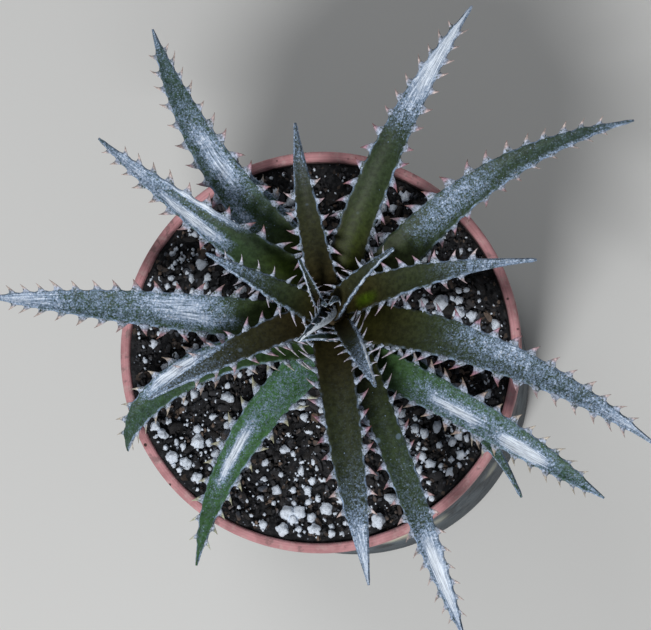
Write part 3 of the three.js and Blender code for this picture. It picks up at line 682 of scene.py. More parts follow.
def clay_material(pot):
    skin = Skin("fired_clay")
    place = skin.place()
    split = skin.add("ShaderNodeSeparateXYZ", {"Vector": place}).outputs
    radius = skin.length(skin.joined(split["X"], split["Y"]))
    lines = skin.noise(skin.joined(radius, split["Z"]), 2600.0, detail=2.0)
    mottle = skin.mottling(place, scale=130.0, low=0.38, high=0.66)
    specks = skin.dots(place, scale=330.0, reach=0.22, core=0.12, bare=0.7)
    clay = clay_colour(skin, place, pot, lines, mottle, specks)
    lip_bottom = pot.height - pot.lip_depth
    wall = skin.remap(split["Z"], lip_bottom + LIP_EDGE, lip_bottom - LIP_EDGE)
    outer = skin.remap(radius, *(pot.base_radius - depth for depth in WALL_BAND))
    streaked = skin.stretched(place, (1, 1, 0.25))
    bloom = bloom_colour(skin, place, streaked, split["Z"], pot, lip_bottom)
    bare = skin.mottling(streaked, scale=60.0, low=0.42, high=0.3)
    cover = skin.times(skin.times(wall, outer), skin.remap(bare, 0, 1, 1, 0.7))
    colour = skin.mix(cover, clay, bloom)
    # Soil stain, partly painted shade: the inner wall darkens from just under the rim down to the soil.
    ragged = skin.times(skin.noise(place, 500.0), STAIN_AND_SHADE_RAGGEDNESS)
    depth = skin.plus(skin.minus(pot.height, split["Z"]), ragged)
    inner = skin.remap(radius, pot.rim_inner_radius + STAIN_AND_SHADE_EDGE, pot.rim_inner_radius)
    soiled_and_shaded = skin.times(skin.remap(depth, *STAIN_AND_SHADE_DEPTHS), inner)
    colour = skin.mix(skin.times(soiled_and_shaded, 0.92), colour, pot.soiled_and_shaded)
    height = skin.plus(skin.grain(place, scale=1400.0, coarse=0.6), skin.times(lines, 0.8))
    height = skin.minus(height, skin.times(specks, 2.0))
    return skin.finished(colour, skin.remap(mottle, 0, 1, 0.72, 0.9), height, 0.12 * MM, 0.6)


def build_pot(pot):
    form = PotForm(pot)
    mesh = spun(form.profile(), POT_STEPS)
    round_ring(mesh, pot.rim_radius, pot.height, RIM_ROUNDING, 4)
    round_ring(mesh, pot.rim_inner_radius, pot.height, RIM_ROUNDING, 4)
    round_ring(mesh, pot.rim_radius, form.lip_bottom, RIM_ROUNDING, 3)
    round_ring(mesh, pot.base_radius, 0, BASE_ROUNDING, 4)
    drains = []
    for i in range(DRAIN_COUNT):
        turn = 2 * math.pi * i / DRAIN_COUNT
        x, y = DRAIN_CIRCLE * math.cos(turn), DRAIN_CIRCLE * math.sin(turn)
        drains.append((x, y, -pot.floor, 2 * pot.floor, DRAIN_RADIUS))
    mesh = bored(mesh, drains)
    smooth_faces(mesh)
    sharpen_corners(mesh)
    finished_piece("clay_pot", mesh, [clay_material(pot)], "pot", "pot")


def sharpen_corners(mesh):
    """Keeps the corners crisp where smooth faces meet at more than an angle."""
    for edge in mesh.edges:
        if len(edge.link_faces) == 2:
            edge.smooth = edge.calc_face_angle(0) < SHARP_CORNER


# Soil ----------------------------------------------------------------------------------------

SOIL_STEPS = 200
SOIL_RINGS = 70
SOIL_GAP = 0.4 * MM
WALL_GAP = 0.15 * MM
STEM_FOOT_RADIUS = 5 * MM
STEM_BURIED = 10 * MM
BANK_HEIGHT = 3.4 * MM
BANK_START = 0.8
BANK_LEAN = 0.45
BANK_LOW_SIDE = math.radians(25)
ROOM_STEP = 1.5 * MM
HEAP_BATCH = 40

# Large perlite grains, as x, y and radius in millimetres
LARGE_GRAINS = (
    (-9.8, -48.6, 2.3), (-6.4, -48.0, 2.2), (-8.0, -50.2, 1.6), (-11.1, -53.0, 1.9), (-1.6, -53.2, 2.0),
    (1.6, -46.8, 1.9), (-37.1, -26.6, 2.1), (-40.4, -33.2, 1.7), (-44.2, -31.4, 1.8), (-49.4, -22.0, 1.5),
    (-47.2, -24.6, 1.6), (-36.8, -37.7, 1.6), (17.3, -50.6, 2.1), (36.0, 14.6, 2.4), (41.0, 11.6, 1.8),
)

# Where the perlite lies thickest, as x, y and radius in millimetres, and how thick
PERLITE_DRIFTS = (
    (-42, -30, 16, 1.0), (33, -27, 17, 1.0), (-14, 50, 12, 0.9), (22, 42, 15, 0.9),
    (-43, 30, 15, 0.8), (38, 13, 11, 0.9), (-2, -51, 16, 0.7), (42, 33, 10, 0.4),
)
PERLITE_ELSEWHERE = 0.16

# Radii of the grains and lengths of the chips, in millimetres
GRAIN_RADII = (0.45, 1.6)
DUST_RADII = (0.2, 0.5)
CRUMB_RADII = (0.25, 0.75)
CHIP_LENGTHS = (1.4, 4.8)

# How far a grain stands out of the soil, as a share of its radius, and how long it may be drawn
GRAIN_SHOWING = (-0.15, 0.5)
GRAIN_STRETCH = (1, 1.3)

# A chip's breadth and thickness as shares of its length, how far it is moved up or down in
# millimetres, the share of its half-length that takes up room, its form and its lean in radians
CHIP_BREADTHS = (0.2, 0.4)
CHIP_DEPTHS = (0.12, 0.25)
CHIP_SHIFTS = (-0.2, 0.25)
CHIP_FOOT = 0.6
CHIP_SQUARENESS = 0.75
CHIP_LEAN = 0.45
CHIP_TIP = 0.4

LUMP_HEIGHT = 1.1 * MM
LUMP_SCALE = 300
LUMP_NOISE = (0.8, 2.2, 4)
BED_SUNK = 0.5 * MM
NO_LEAF_ABOVE = 1.0

PERLITE_PIT_SHADE = srgb(112, 114, 120)
GREY_BARK = srgb(84, 90, 100)
DARK_BARK = srgb(26, 23, 21)


class SoilForm:
    """The height of the soil and the room over it."""

    def __init__(self, pot, soil):
        self.edge_height = pot.height - soil.depth
        self.dip = soil.dip
        self.reach = pot.rim_radius
        self.edge_radius = PotForm(pot).inside(self.edge_height) - SOIL_GAP
        self.room = {}
        for leaf in LEAVES:
            for at, half_width, under in BladeForm(leaf).stations:
                self.mark_room(at, half_width + ROOM_STEP, under)

    def height(self, x, y):
        away = math.hypot(x - PLANT_X * MM, y - PLANT_Y * MM) / self.reach
        banked = BANK_HEIGHT * (1 - BANK_LEAN * math.cos(math.atan2(y, x) - BANK_LOW_SIDE))
        bank = banked * ease(BANK_START, 1, math.hypot(x, y) / self.edge_radius)
        return self.edge_height - self.dip * max(0, 1 - away) + bank

    def mark_room(self, at, reach, under):
        cells = int(reach / ROOM_STEP) + 1
        for i in range(-cells, cells + 1):
            for j in range(-cells, cells + 1):
                if math.hypot(i, j) * ROOM_STEP < reach:
                    square = self.square(at.x + i * ROOM_STEP, at.y + j * ROOM_STEP)
                    self.room[square] = min(under, self.room.get(square, under))

    def square(self, x, y):
        return round(x / ROOM_STEP), round(y / ROOM_STEP)

    def clear_height(self, x, y):
        """How high a grain may stand at a place before it meets a leaf."""
        return self.room.get(self.square(x, y), NO_LEAF_ABOVE)


def peat_material(soil):
    skin = Skin("peat")
    place = skin.place()
    lumps = skin.mottling(place, scale=520.0, low=0.42, high=0.64)
    colour = skin.mix(lumps, soil.peat, soil.bark)
    pale = skin.remap(skin.cells(place, 900.0)["Color"], 0.8, 0.86)
    colour = skin.mix(skin.times(pale, 0.45), colour, soil.bark_pale)
    sand = skin.dots(place, scale=1400.0, reach=0.35, core=0.2, bare=0.8)
    colour = skin.mix(skin.times(sand, 0.8), colour, soil.perlite_grey)
    roughness = skin.remap(lumps, 0, 1, 0.95, 0.8)
    return skin.finished(colour, roughness, skin.grain(place, scale=1300.0, coarse=0.9), 0.5 * MM)


def perlite_material(soil):
    skin = Skin("perlite")
    place = skin.place()
    dust = skin.mottling(place, scale=620.0, low=0.42, high=0.68)
    dusty = skin.times(skin.plus(skin.times(dust, 0.6), 0.05), skin.attribute("tint"))
    colour = skin.mix(dusty, soil.perlite, soil.perlite_grey)
    pits = skin.remap(skin.cells(place, 2100.0)["Distance"], 0.26, 0.12)
    # Painted shade: the pits are darkened towards grey.
    colour = skin.mix(skin.times(pits, 0.4), colour, PERLITE_PIT_SHADE)
    height = skin.minus(skin.grain(place, scale=2200.0, coarse=0.8), pits)
    return skin.finished(colour, skin.remap(dust, 0, 1, 0.7, 0.9), height, 0.2 * MM)


def bark_material(soil):
    skin = Skin("bark")
    place = skin.place()
    tint = skin.attribute("tint")
    fibre = skin.noise(skin.stretched(place, (1, 0.3, 1)), 1500.0, detail=4.0, distortion=0.5)
    age = skin.maths("POWER", skin.remap(tint, 0.5, 1.0), 1.4)
    faded = skin.mix(skin.remap(skin.noise(place, 120.0), 0.45, 0.58), soil.bark_pale, GREY_BARK)
    colour = skin.mix(age, soil.bark, faded)
    colour = skin.mix(skin.times(skin.remap(tint, 0.4, 0.05), 0.85), colour, DARK_BARK)
    colour = skin.shaded(colour, skin.remap(fibre, 0.3, 0.7, 0.65, 1.35))
    dust = skin.mottling(place, scale=700.0, low=0.56, high=0.74)
    colour = skin.mix(skin.times(dust, 0.3), colour, soil.perlite_grey)
    return skin.finished(colour, skin.remap(fibre, 0.3, 0.7, 0.65, 0.95), fibre, 0.25 * MM)


def build_soil_bed(pot, soil):
    form = PotForm(pot)
    soil_form = SoilForm(pot, soil)
    bottom = pot.floor + SOIL_GAP
    rings = [1 - i / SOIL_RINGS for i in range(SOIL_RINGS + 1)]
    profile = [
        (0, bottom),
        (form.inside(bottom) - SOIL_GAP, bottom),
        (form.inside(form.collar_bottom) - SOIL_GAP, form.collar_bottom),
        *((soil_form.edge_radius * share, soil_form.edge_height) for share in rings),
    ]
    mesh = spun(profile, SOIL_STEPS)
    for spot in mesh.verts:
        if spot.co.z > soil_form.edge_height - 0.1 * MM:
            lumps = noise.fractal(spot.co * LUMP_SCALE, *LUMP_NOISE) * LUMP_HEIGHT
            spot.co.z = soil_form.height(spot.co.x, spot.co.y) - BED_SUNK + lumps
            away = math.hypot(spot.co.x, spot.co.y)
            flare = (form.inside(spot.co.z) - WALL_GAP) / soil_form.edge_radius
            spread = blend_between(1, flare, ease(BANK_START, 1, away / soil_form.edge_radius))
            spot.co.x, spot.co.y = spot.co.x * spread, spot.co.y * spread
    foot = soil_form.edge_height - soil.dip - STEM_BURIED
    hole = (PLANT_X * MM, PLANT_Y * MM, foot - SOIL_GAP, pot.height, STEM_FOOT_RADIUS + SOIL_GAP)
    mesh = bored(mesh, [hole])
    smooth_faces(mesh)
    finished_piece("soil_bed", mesh, [peat_material(soil)], "soil", "soil")


class Scatter:
    """Seeded places on the soil that keep apart from each other and off the stem."""

    def __init__(self, form, seed, cell=6 * MM):
        self.form = form
        self.draw = random.Random(seed)
        self.cell = cell
        self.taken = {}

    def key(self, x, y):
        return int(x // self.cell), int(y // self.cell)

    def crowded(self, x, y, radius, spacing):
        column, row = self.key(x, y)
        near = ((column + i, row + j) for i in (-1, 0, 1) for j in (-1, 0, 1))
        return any(
            math.hypot(x - other_x, y - other_y) < spacing * (radius + other_radius)
            for square in near
            for other_x, other_y, other_radius in self.taken.get(square, ())
        )

    def settle(self, x, y, radius, showing):
        """The height of a grain's centre, or None where a leaf or the stem leaves it no room."""
        if math.hypot(x - PLANT_X * MM, y - PLANT_Y * MM) < STEM_FOOT_RADIUS + SOIL_GAP + radius:
            return None
        height = self.form.height(x, y) + showing * radius
        if height + radius > self.form.clear_height(x, y):
            return None
        self.taken.setdefault(self.key(x, y), []).append((x, y, radius))
        return height

    def anywhere(self, radius):
        away = (self.form.edge_radius - radius * 1.1) * math.sqrt(self.draw.random())
        turn = 2 * math.pi * self.draw.random()
        return away * math.cos(turn), away * math.sin(turn)

    def rests(self, count, tries, size, showing, stays=None, foot=1):
        """Yields x, y, height and radius for up to a count of grains, with some tries for each.

        size and showing draw a grain's radius and the share of it that stands out of the soil.
        stays says whether it may lie at a place, and foot is the share of it that takes up room.
        """
        laid = 0
        for _ in range(tries * count):
            if laid == count:
                return
            radius = size()
            x, y = self.anywhere(radius)
            if stays and not stays(x, y, radius * foot):
                continue
            height = self.settle(x, y, radius * foot, showing())
            if height is not None:
                laid += 1
                yield x, y, height, radius


def random_turn(draw):
    turns = (Matrix.Rotation(draw.uniform(0, 2 * math.pi), 4, axis) for axis in "XYZ")
    return next(turns) @ next(turns) @ next(turns)


class Heap:
    """Collects many small shapes a few dozen at a time, since a full mesh slows every operator."""

    def __init__(self):
        self.whole = bmesh.new()
        self.whole.verts.layers.float.new("tint")
        self.start_batch()

    def start_batch(self):
        self.batch = bmesh.new()
        self.tint_layer = self.batch.verts.layers.float.new("tint")
        self.laid = 0

    def end_batch(self):
        data = bpy.data.meshes.new("batch")
        self.batch.to_mesh(data)
        self.batch.free()
        self.whole.from_mesh(data)
        bpy.data.meshes.remove(data)
        self.start_batch()

    def add(self, rounds, radius, tint, shape, moved):
        """An icosphere, each point of which goes through shape, then moved by a matrix."""
        spots = bmesh.ops.create_icosphere(self.batch, subdivisions=rounds, radius=radius)["verts"]
        for spot in spots:
            spot.co = shape(spot.co)
            spot[self.tint_layer] = tint
        bmesh.ops.transform(self.batch, matrix=moved, verts=spots)
        self.laid += 1
        if self.laid == HEAP_BATCH:
            self.end_batch()

    def finished(self):
        self.end_batch()
        self.batch.free()
        return self.whole


def random_offset(draw):
    return Vector([draw.uniform(0, 50) for _ in range(3)])


def add_grain(heap, draw, place, radius, rounds, tint, roughness, stretch):
    """One irregular grain, pushed in and out by smooth noise."""
    offset = random_offset(draw)

    def shape(spot):
        return spot * (1 + roughness * noise.noise(spot / radius * 1.5 + offset))

    squeeze = Matrix.Diagonal((stretch, 1, 1 / stretch, 1))
    heap.add(rounds, radius, tint, shape, Matrix.Translation(place) @ random_turn(draw) @ squeeze)


def add_chip(heap, draw, place, extents):
    """One flat chip of bark, pushed out towards the corners of a box."""
    offset = random_offset(draw)

    def shape(spot):
        blocky = max(abs(part) for part in spot) ** -CHIP_SQUARENESS
        return spot * blocky * (1 + 0.3 * noise.noise(spot * 1.3 + offset))

    turn = Matrix.Rotation(draw.uniform(0, 2 * math.pi), 4, "Z")
    sideways = Matrix.Rotation(draw.gauss(0, CHIP_LEAN), 4, "X")
    lean = sideways @ Matrix.Rotation(draw.gauss(0, CHIP_TIP), 4, "Y")
    tint = draw.random()
    heap.add(2, 1, tint, shape, Matrix.Translation(place) @ turn @ lean @ Matrix.Diagonal((*extents, 1)))


def perlite_share(x, y):
    """The chance that a grain which falls at a place stays there."""
    drifts = (
        strength * (1 - ease(0.4, 1, math.hypot(x / MM - at_x, y / MM - at_y) / reach))
        for at_x, at_y, reach, strength in PERLITE_DRIFTS
    )
    clumps = 1 + 0.9 * noise.noise(Vector((x, y, 0.3)) * 170)
    return max(PERLITE_ELSEWHERE, *drifts) * clumps


def add_crumbs(scatter, heap, count, tries, radii, showing, roughness, stretch):
    """Small grains of random size, anywhere that they find room."""
    draw = scatter.draw
    for *place, radius in scatter.rests(count, tries, lambda: draw.uniform(*radii) * MM, lambda: showing):
        add_grain(heap, draw, Vector(place), radius, 1, draw.random(), roughness, stretch)


def build_perlite(pot, soil):
    form = SoilForm(pot, soil)
    scatter = Scatter(form, soil.seed)
    draw = scatter.draw
    heap = Heap()
    for x, y, radius in LARGE_GRAINS:
        height = scatter.settle(x * MM, y * MM, radius * MM, 0.1)
        if height is not None:
            place = Vector((x * MM, y * MM, height))
            add_grain(heap, draw, place, radius * MM, rounds=3, tint=0.15, roughness=0.5, stretch=1.1)

    def stays(x, y, radius):
        return draw.random() <= perlite_share(x, y) and not scatter.crowded(x, y, radius, 0.9)

    def size():
        return blend_between(*GRAIN_RADII, draw.random() ** 1.2) * MM

    def showing():
        return draw.uniform(*GRAIN_SHOWING)

    for *place, radius in scatter.rests(soil.perlite_count, 40, size, showing, stays):
        tint = draw.random() ** 1.3
        stretch = draw.uniform(*GRAIN_STRETCH)
        add_grain(heap, draw, Vector(place), radius, rounds=2, tint=tint, roughness=0.75, stretch=stretch)
    add_crumbs(scatter, heap, soil.dust_count, 1, DUST_RADII, showing=0.6, roughness=0.7, stretch=1.2)
    mesh = heap.finished()
    smooth_faces(mesh)
    finished_piece("perlite_grains", mesh, [perlite_material(soil)], "soil")


def build_bark(pot, soil):
    form = SoilForm(pot, soil)
    scatter = Scatter(form, soil.seed + 1)
    draw = scatter.draw
    heap = Heap()

    def stays(x, y, radius):
        return not scatter.crowded(x, y, radius, 0.75)

    def size():
        return blend_between(*CHIP_LENGTHS, draw.random() ** 2) * MM / 2

    for x, y, height, half in scatter.rests(soil.bark_count, 40, size, lambda: 0, stays, CHIP_FOOT):
        length = 2 * half
        extents = (half, length * draw.uniform(*CHIP_BREADTHS), length * draw.uniform(*CHIP_DEPTHS))
        add_chip(heap, draw, (x, y, height + draw.uniform(*CHIP_SHIFTS) * MM), extents)
    add_crumbs(scatter, heap, soil.crumb_count, 10, CRUMB_RADII, showing=0.4, roughness=0.8, stretch=1.3)
    finished_piece("bark_chips", heap.finished(), [bark_material(soil)], "soil")


# Stem ----------------------------------------------------------------------------------------

STEM_TOP_RADIUS = 2 * MM
STEM_LEVELS = 5.6
STEM_STEPS = 48
SCAR_STEPS = 24
SCAR_COUNT = 5
SCAR_DEPTH = 0.18 * MM
FOOT_EDGE = 1e-5
STEM_CAP = 0.6
SCAR_DARK = srgb(52, 42, 28)
SCAR_PALE = srgb(104, 88, 60)


def stem_material():
    skin = Skin("leaf_scars")
    rings = skin.noise(skin.stretched(skin.place(), (0.25, 0.25, 1)), 1600.0, detail=3.0)
    colour = skin.mix(skin.remap(rings, 0.35, 0.65), SCAR_DARK, SCAR_PALE)
    return skin.finished(colour, skin.remap(rings, 0.3, 0.7, 0.7, 0.95), rings, 0.3 * MM)


def build_stem(pot, soil):
    foot = pot.height - soil.depth - soil.dip - STEM_BURIED
    shoulder = FIRST_LEVEL * MM
    top = shoulder + STEM_LEVELS * LEVEL_STEP * MM
    profile = [(0, foot), (STEM_FOOT_RADIUS, foot)]
    for i in range(SCAR_STEPS + 1):
        share = i / SCAR_STEPS
        height = blend_between(foot, shoulder, share)
        scar = SCAR_DEPTH * (1 - math.cos(2 * math.pi * SCAR_COUNT * share)) / 2
        profile.append((STEM_FOOT_RADIUS - scar, height + FOOT_EDGE))
    profile += [(STEM_TOP_RADIUS, top - STEM_TOP_RADIUS), (STEM_TOP_RADIUS * STEM_CAP, top), (0, top)]
    mesh = spun(profile, STEM_STEPS, (PLANT_X * MM, PLANT_Y * MM, 0))
    finished_piece("leafy_stem", mesh, [stem_material()], "stem", "stem")


# Leaves --------------------------------------------------------------------------------------

# The blade's section and outline, as shares of its width, half-width, thickness or length.
# TIP_WIDTH is in millimetres.
BLADE_CUP = 0.3
MIDRIB_SHARE = 0.4
ROLL_RADIUS = 0.42
ROOT_NARROWING = 0.15
ROOT_LENGTH = 0.12
TIP_WIDTH = 0.9
POINT_START = 0.975
POINT_SHARPNESS = 0.7
EDGE_BAND = 0.86
EDGE_ROUNDING = 0.55

# The blade's finer relief, and how far its lower face lies under its line
EDGE_BEAD = 0.12 * MM
RIPPLE = 0.35 * MM
RIPPLE_SCALE = 90
MARGIN_DIP = 0.45 * MM
DIP_START = 0.7 * MM
DIP_END = 2.6 * MM
LOWER_FACE = 1.7 * MM

# How finely a blade is divided
CURVE_STEPS = 200
STATION_COUNT = 24
ALONG_STEP = 0.72 * MM
ACROSS_CUTS = 17

# The scales and the gloss
OUTER_COVER = 0.72
FROST = 0.03
STREAK_CONTRAST = 2.7
BLADE_GLOSS = 0.14
TOOTH_GLOSS = 0.35

# Where the teeth stand: the first and last share of the length, how far the first one may be
# moved in millimetres, how much closer they are at the ends and on narrow leaves, and how much
# the gaps vary
TOOTH_FIRST = 0.05
TOOTH_LAST = 0.94
FIRST_TOOTH_SPREAD = 2.5
SPACING_AT_ENDS = 0.6
SPACING_ON_NARROW = 0.62
SPACING_SPREAD = (0.88, 1.12)

# The shape of the teeth, with their lean in degrees. Young ones stand towards the root and on the
# inner leaves, in the given shares of the length and levels.
TOOTH_SIDES = 6
TOOTH_RINGS = 5
TOOTH_SUNK = 0.7 * MM
TOOTH_FOOT_DEPTH = 0.36
TOOTH_POINT_DEPTH = 0.08 * MM
TOOTH_POINT_WIDTH = 0.05 * MM
TOOTH_SPREAD = (0.86, 1.12)
TOOTH_CURL = (0.25, 0.55)
YOUNG_SHARES = (0.12, 0.4)
YOUNG_LEVELS = (3.5, 5)
TOOTH_UPTURN = 0.4
TOOTH_ON_NARROW = 0.55
TOOTH_AT_TIP = 0.5
YOUNG_TOOTH_LENGTH = 1.15
YOUNG_TOOTH_FOOT = 0.6
TOOTH_LEAN_ROOT = -40
TOOTH_LEAN_TIP = 46
TOOTH_LEAN_SPREAD = 7

LEAF_LAYERS = ("share", "side", "silver", "glow", "rise", "young", "fresh", "dark")


class BladeForm:
    """The line, width and thickness of one blade, read by share of its length. In metres."""

    def __init__(self, leaf):
        self.leaf = leaf
        self.knots = self.find_knots()
        self.spots = [self.bezier(i / CURVE_STEPS) for i in range(CURVE_STEPS + 1)]
        self.run = [0.0]
        for here, ahead in zip(self.spots, self.spots[1:]):
            self.run.append(self.run[-1] + (ahead - here).length)
        self.length = self.run[-1]
        self.stations = [self.station(i / STATION_COUNT) for i in range(STATION_COUNT + 1)]

    def find_knots(self):
        leaf = self.leaf
        rise = math.radians(FIRST_RISE + RISE_STEP * leaf["level"])
        fall = math.radians(leaf["fall"])
        root_radius = leaf.get("start", FIRST_ROOT_RADIUS - ROOT_RADIUS_STEP * leaf["level"])
        start = Vector((root_radius, leaf["root"], FIRST_LEVEL + LEVEL_STEP * leaf["level"]))
        end = Vector((leaf["reach"], 0, leaf["tip"]))
        arm = math.hypot(end.x - start.x, end.z - start.z) / 3
        bend = 4 / 3 * leaf["bow"]
        rising = start + Vector((arm * math.cos(rise), bend - leaf["root"] / 3, arm * math.sin(rise)))
        falling = end + Vector((-arm * math.cos(fall), bend + leaf["root"] / 3, -arm * math.sin(fall)))
        turn = Matrix.Rotation(math.radians(leaf["azimuth"]), 3, "Z")
        middle = Vector((PLANT_X, PLANT_Y, 0))
        return [(turn @ spot + middle) * MM for spot in (start, rising, falling, end)]

    def bezier(self, share):
        rest = 1 - share
        weights = (rest**3, 3 * rest * rest * share, 3 * rest * share * share, share**3)
        return sum((knot * weight for knot, weight in zip(self.knots, weights)), Vector())

    def slope(self, share):
        rest = 1 - share
        first, second, third, fourth = self.knots
        early, late = (second - first) * rest * rest, (fourth - third) * share * share
        return early + (third - second) * 2 * rest * share + late

    def axes(self, share):
        """The place on the line, and the blade's own axes: along, across and out of its upper face."""
        goal = share * self.length
        step = min(sum(1 for run in self.run[1:] if run < goal), CURVE_STEPS - 1)
        part = (goal - self.run[step]) / (self.run[step + 1] - self.run[step])
        at = self.spots[step].lerp(self.spots[step + 1], part)
        along = self.slope((step + part) / CURVE_STEPS).normalized()
        turn = math.radians(self.leaf["azimuth"])
        across = Vector((-math.sin(turn), math.cos(turn), 0))
        across = (across - along * across.dot(along)).normalized()
        return at, along, across, along.cross(across)

    def root_shape(self, share):
        return 1 - ROOT_NARROWING * (1 - ease(0, ROOT_LENGTH, share))

    def half_width(self, share):
        narrowed = 1 - share ** self.leaf["taper"]
        width = max(TIP_WIDTH, self.leaf["width"] * narrowed * self.root_shape(share))
        return width / 2 * MM

    def thickness(self, share, side, leaves):
        thickest = min(leaves.midrib, MIDRIB_SHARE * self.leaf["width"] * MM)
        middle = blend_between(thickest * self.root_shape(share), leaves.edge, share * share)
        return blend_between(leaves.edge, middle, 1 - side * side) * self.leaf.get("thin", 1)

    def rise(self, share, side, leaves):
        """How far the upper face stands above the blade's middle line."""
        cup = self.leaf.get("cup", BLADE_CUP)
        return self.thickness(share, 0, leaves) / 2 + cup * self.half_width(share) * side * side

    def section(self, share, side, leaves):
        """A point of the upper face as an offset across, an offset up and the slope there."""
        half_width = self.half_width(share)
        slope = math.atan(2 * self.leaf.get("cup", BLADE_CUP) * side)
        if "roll" not in self.leaf or side <= 0:
            return side * half_width, self.rise(share, side, leaves), slope
        flat, turn = self.leaf["roll"]
        whole = flat + ROLL_RADIUS * math.radians(turn)
        if side * whole <= flat:
            return side * whole * half_width, self.rise(share, side * whole, leaves), slope * whole
        first = math.atan(2 * self.leaf.get("cup", BLADE_CUP) * flat)
        last = first + (side * whole - flat) / ROLL_RADIUS
        radius = ROLL_RADIUS * half_width
        across = flat * half_width + radius * (math.sin(last) - math.sin(first))
        return across, self.rise(share, flat, leaves) + radius * (math.cos(first) - math.cos(last)), last

    def tooth_size(self, side):
        """How large the teeth of the left (1) or right (-1) margin are against the rule's size."""
        return self.leaf.get("teeth", (1, 1))[0 if side > 0 else 1]

    def station(self, share):
        """A place on the blade's line, the half-width there and the height of the lower face."""
        at, _, _, up = self.axes(share)
        half_width = self.half_width(share)
        return at, half_width, at.z - LOWER_FACE * abs(up.z) - half_width * abs(math.hypot(up.x, up.y))


def tooth_shares(blade, leaves, draw):
    """Where the teeth of one margin stand: closer together at both ends of the blade."""
    shares = []
    run = TOOTH_FIRST * blade.length + draw.uniform(0, FIRST_TOOTH_SPREAD) * MM
    while run < blade.leaf.get("last", TOOTH_LAST) * blade.length:
        shares.append(run / blade.length)
        middle = math.sin(math.pi * min(shares[-1] * 1.05, 1)) ** 0.6
        full = leaves.tooth_spacing * blend_between(SPACING_ON_NARROW, 1, blade.leaf["width"] / WIDEST)
        run += blend_between(SPACING_AT_ENDS, 1, middle) * full * draw.uniform(*SPACING_SPREAD)
    return shares


def add_blade(mesh, blade, leaves, teeth):
    """A cube cut into a fine net, each point of which is moved to its place on the blade."""
    bmesh.ops.create_cube(mesh, size=1)
    cuts = max(12, int(blade.length / ALONG_STEP))
    for axis, count in ((1, cuts), (0, ACROSS_CUTS), (2, 1)):
        runs = [edge for edge in mesh.edges if abs(edge.verts[0].co[axis] - edge.verts[1].co[axis]) > 0.5]
        bmesh.ops.subdivide_edges(mesh, edges=runs, cuts=count, use_grid_fill=True)
    axes = {}
    layers = mesh.verts.layers.float
    for spot in mesh.verts:
        share, side, face = spot.co.y + 0.5, 2 * spot.co.x, 2 * spot.co.z
        key = round(share * 1e5)
        if key not in axes:
            axes[key] = (*blade.axes(share), margin_dips(blade, teeth, share))
        at, _, across, up, dips = axes[key]
        bulge = blade.thickness(share, side, leaves)
        point = 1 - POINT_SHARPNESS * ease(POINT_START, 1, share)
        thin = 1 - EDGE_ROUNDING * ease(EDGE_BAND, 1, abs(side))
        ripple = RIPPLE * noise.noise(at * RIPPLE_SCALE + across * side * 3) * abs(side) ** 3
        dip = dips[0 if side < 0 else 1] * ease(0.6, 1, abs(side)) + EDGE_BEAD * (abs(side) > 0.99)
        sideways, height, slope = blade.section(share, side, leaves)
        sideways = (sideways - math.copysign(dip, side) * math.cos(slope)) * point
        height += ripple - math.sin(abs(slope)) * dip
        sunk = bulge / 2 - face * bulge / 2 * thin * point
        spot.co = at + across * (sideways + sunk * math.sin(slope)) + up * (height - sunk * math.cos(slope))
        cover = scales_and_painted_sheen(blade.leaf, share, side, face)
        glow = patch_strength(blade.leaf.get("glow", ()), share, side)
        # The silver layer carries the scales and the painted sheen highlights.
        write(spot, layers, share=share, side=side, silver=cover, glow=glow)


def margin_dips(blade, teeth, share):
    """How far the margins draw in between their teeth, on the right and on the left."""
    dips = []
    for shares in teeth:
        nearest = min((abs(share - tooth) for tooth in shares), default=1) * blade.length
        dips.append(MARGIN_DIP * ease(DIP_START, DIP_END, nearest))
    return dips


def scales_and_painted_sheen(leaf, share, side, face):
    """How much the silver scales cover at one place, with the sheen patches' painted highlights added."""
    if face < 0:
        usual = OUTER_COVER * blend_between(0.3, 1, ease(0.12, 0.6, share))
        return leaf.get("outer", usual) + leaf.get("rim", 0) * ease(0.5, 1, abs(side))
    start, full, most = leaf["silver"]
    frost = FROST * ease(0.08, 0.35, share)
    return most * ease(start, full, share) + patch_strength(leaf.get("sheen", ()), share, side) + frost


def write(spot, layers, **values):
    for name, value in values.items():
        spot[layers[name]] = value


def leaf_mesh():
    mesh = bmesh.new()
    for name in LEAF_LAYERS:
        mesh.verts.layers.float.new(name)
    return mesh


def tooth_blank():
    """A cone with rings of points up its height, which each tooth starts from."""
    mesh = bmesh.new()
    bmesh.ops.create_cone(mesh, cap_ends=True, segments=TOOTH_SIDES, radius1=1, radius2=0.2, depth=1)
    risers = [edge for edge in mesh.edges if abs(edge.verts[0].co.z - edge.verts[1].co.z) > 0.5]
    bmesh.ops.subdivide_edges(mesh, edges=risers, cuts=TOOTH_RINGS)
    blank = bpy.data.meshes.new("tooth_blank")
    mesh.to_mesh(blank)
    mesh.free()
    return blank


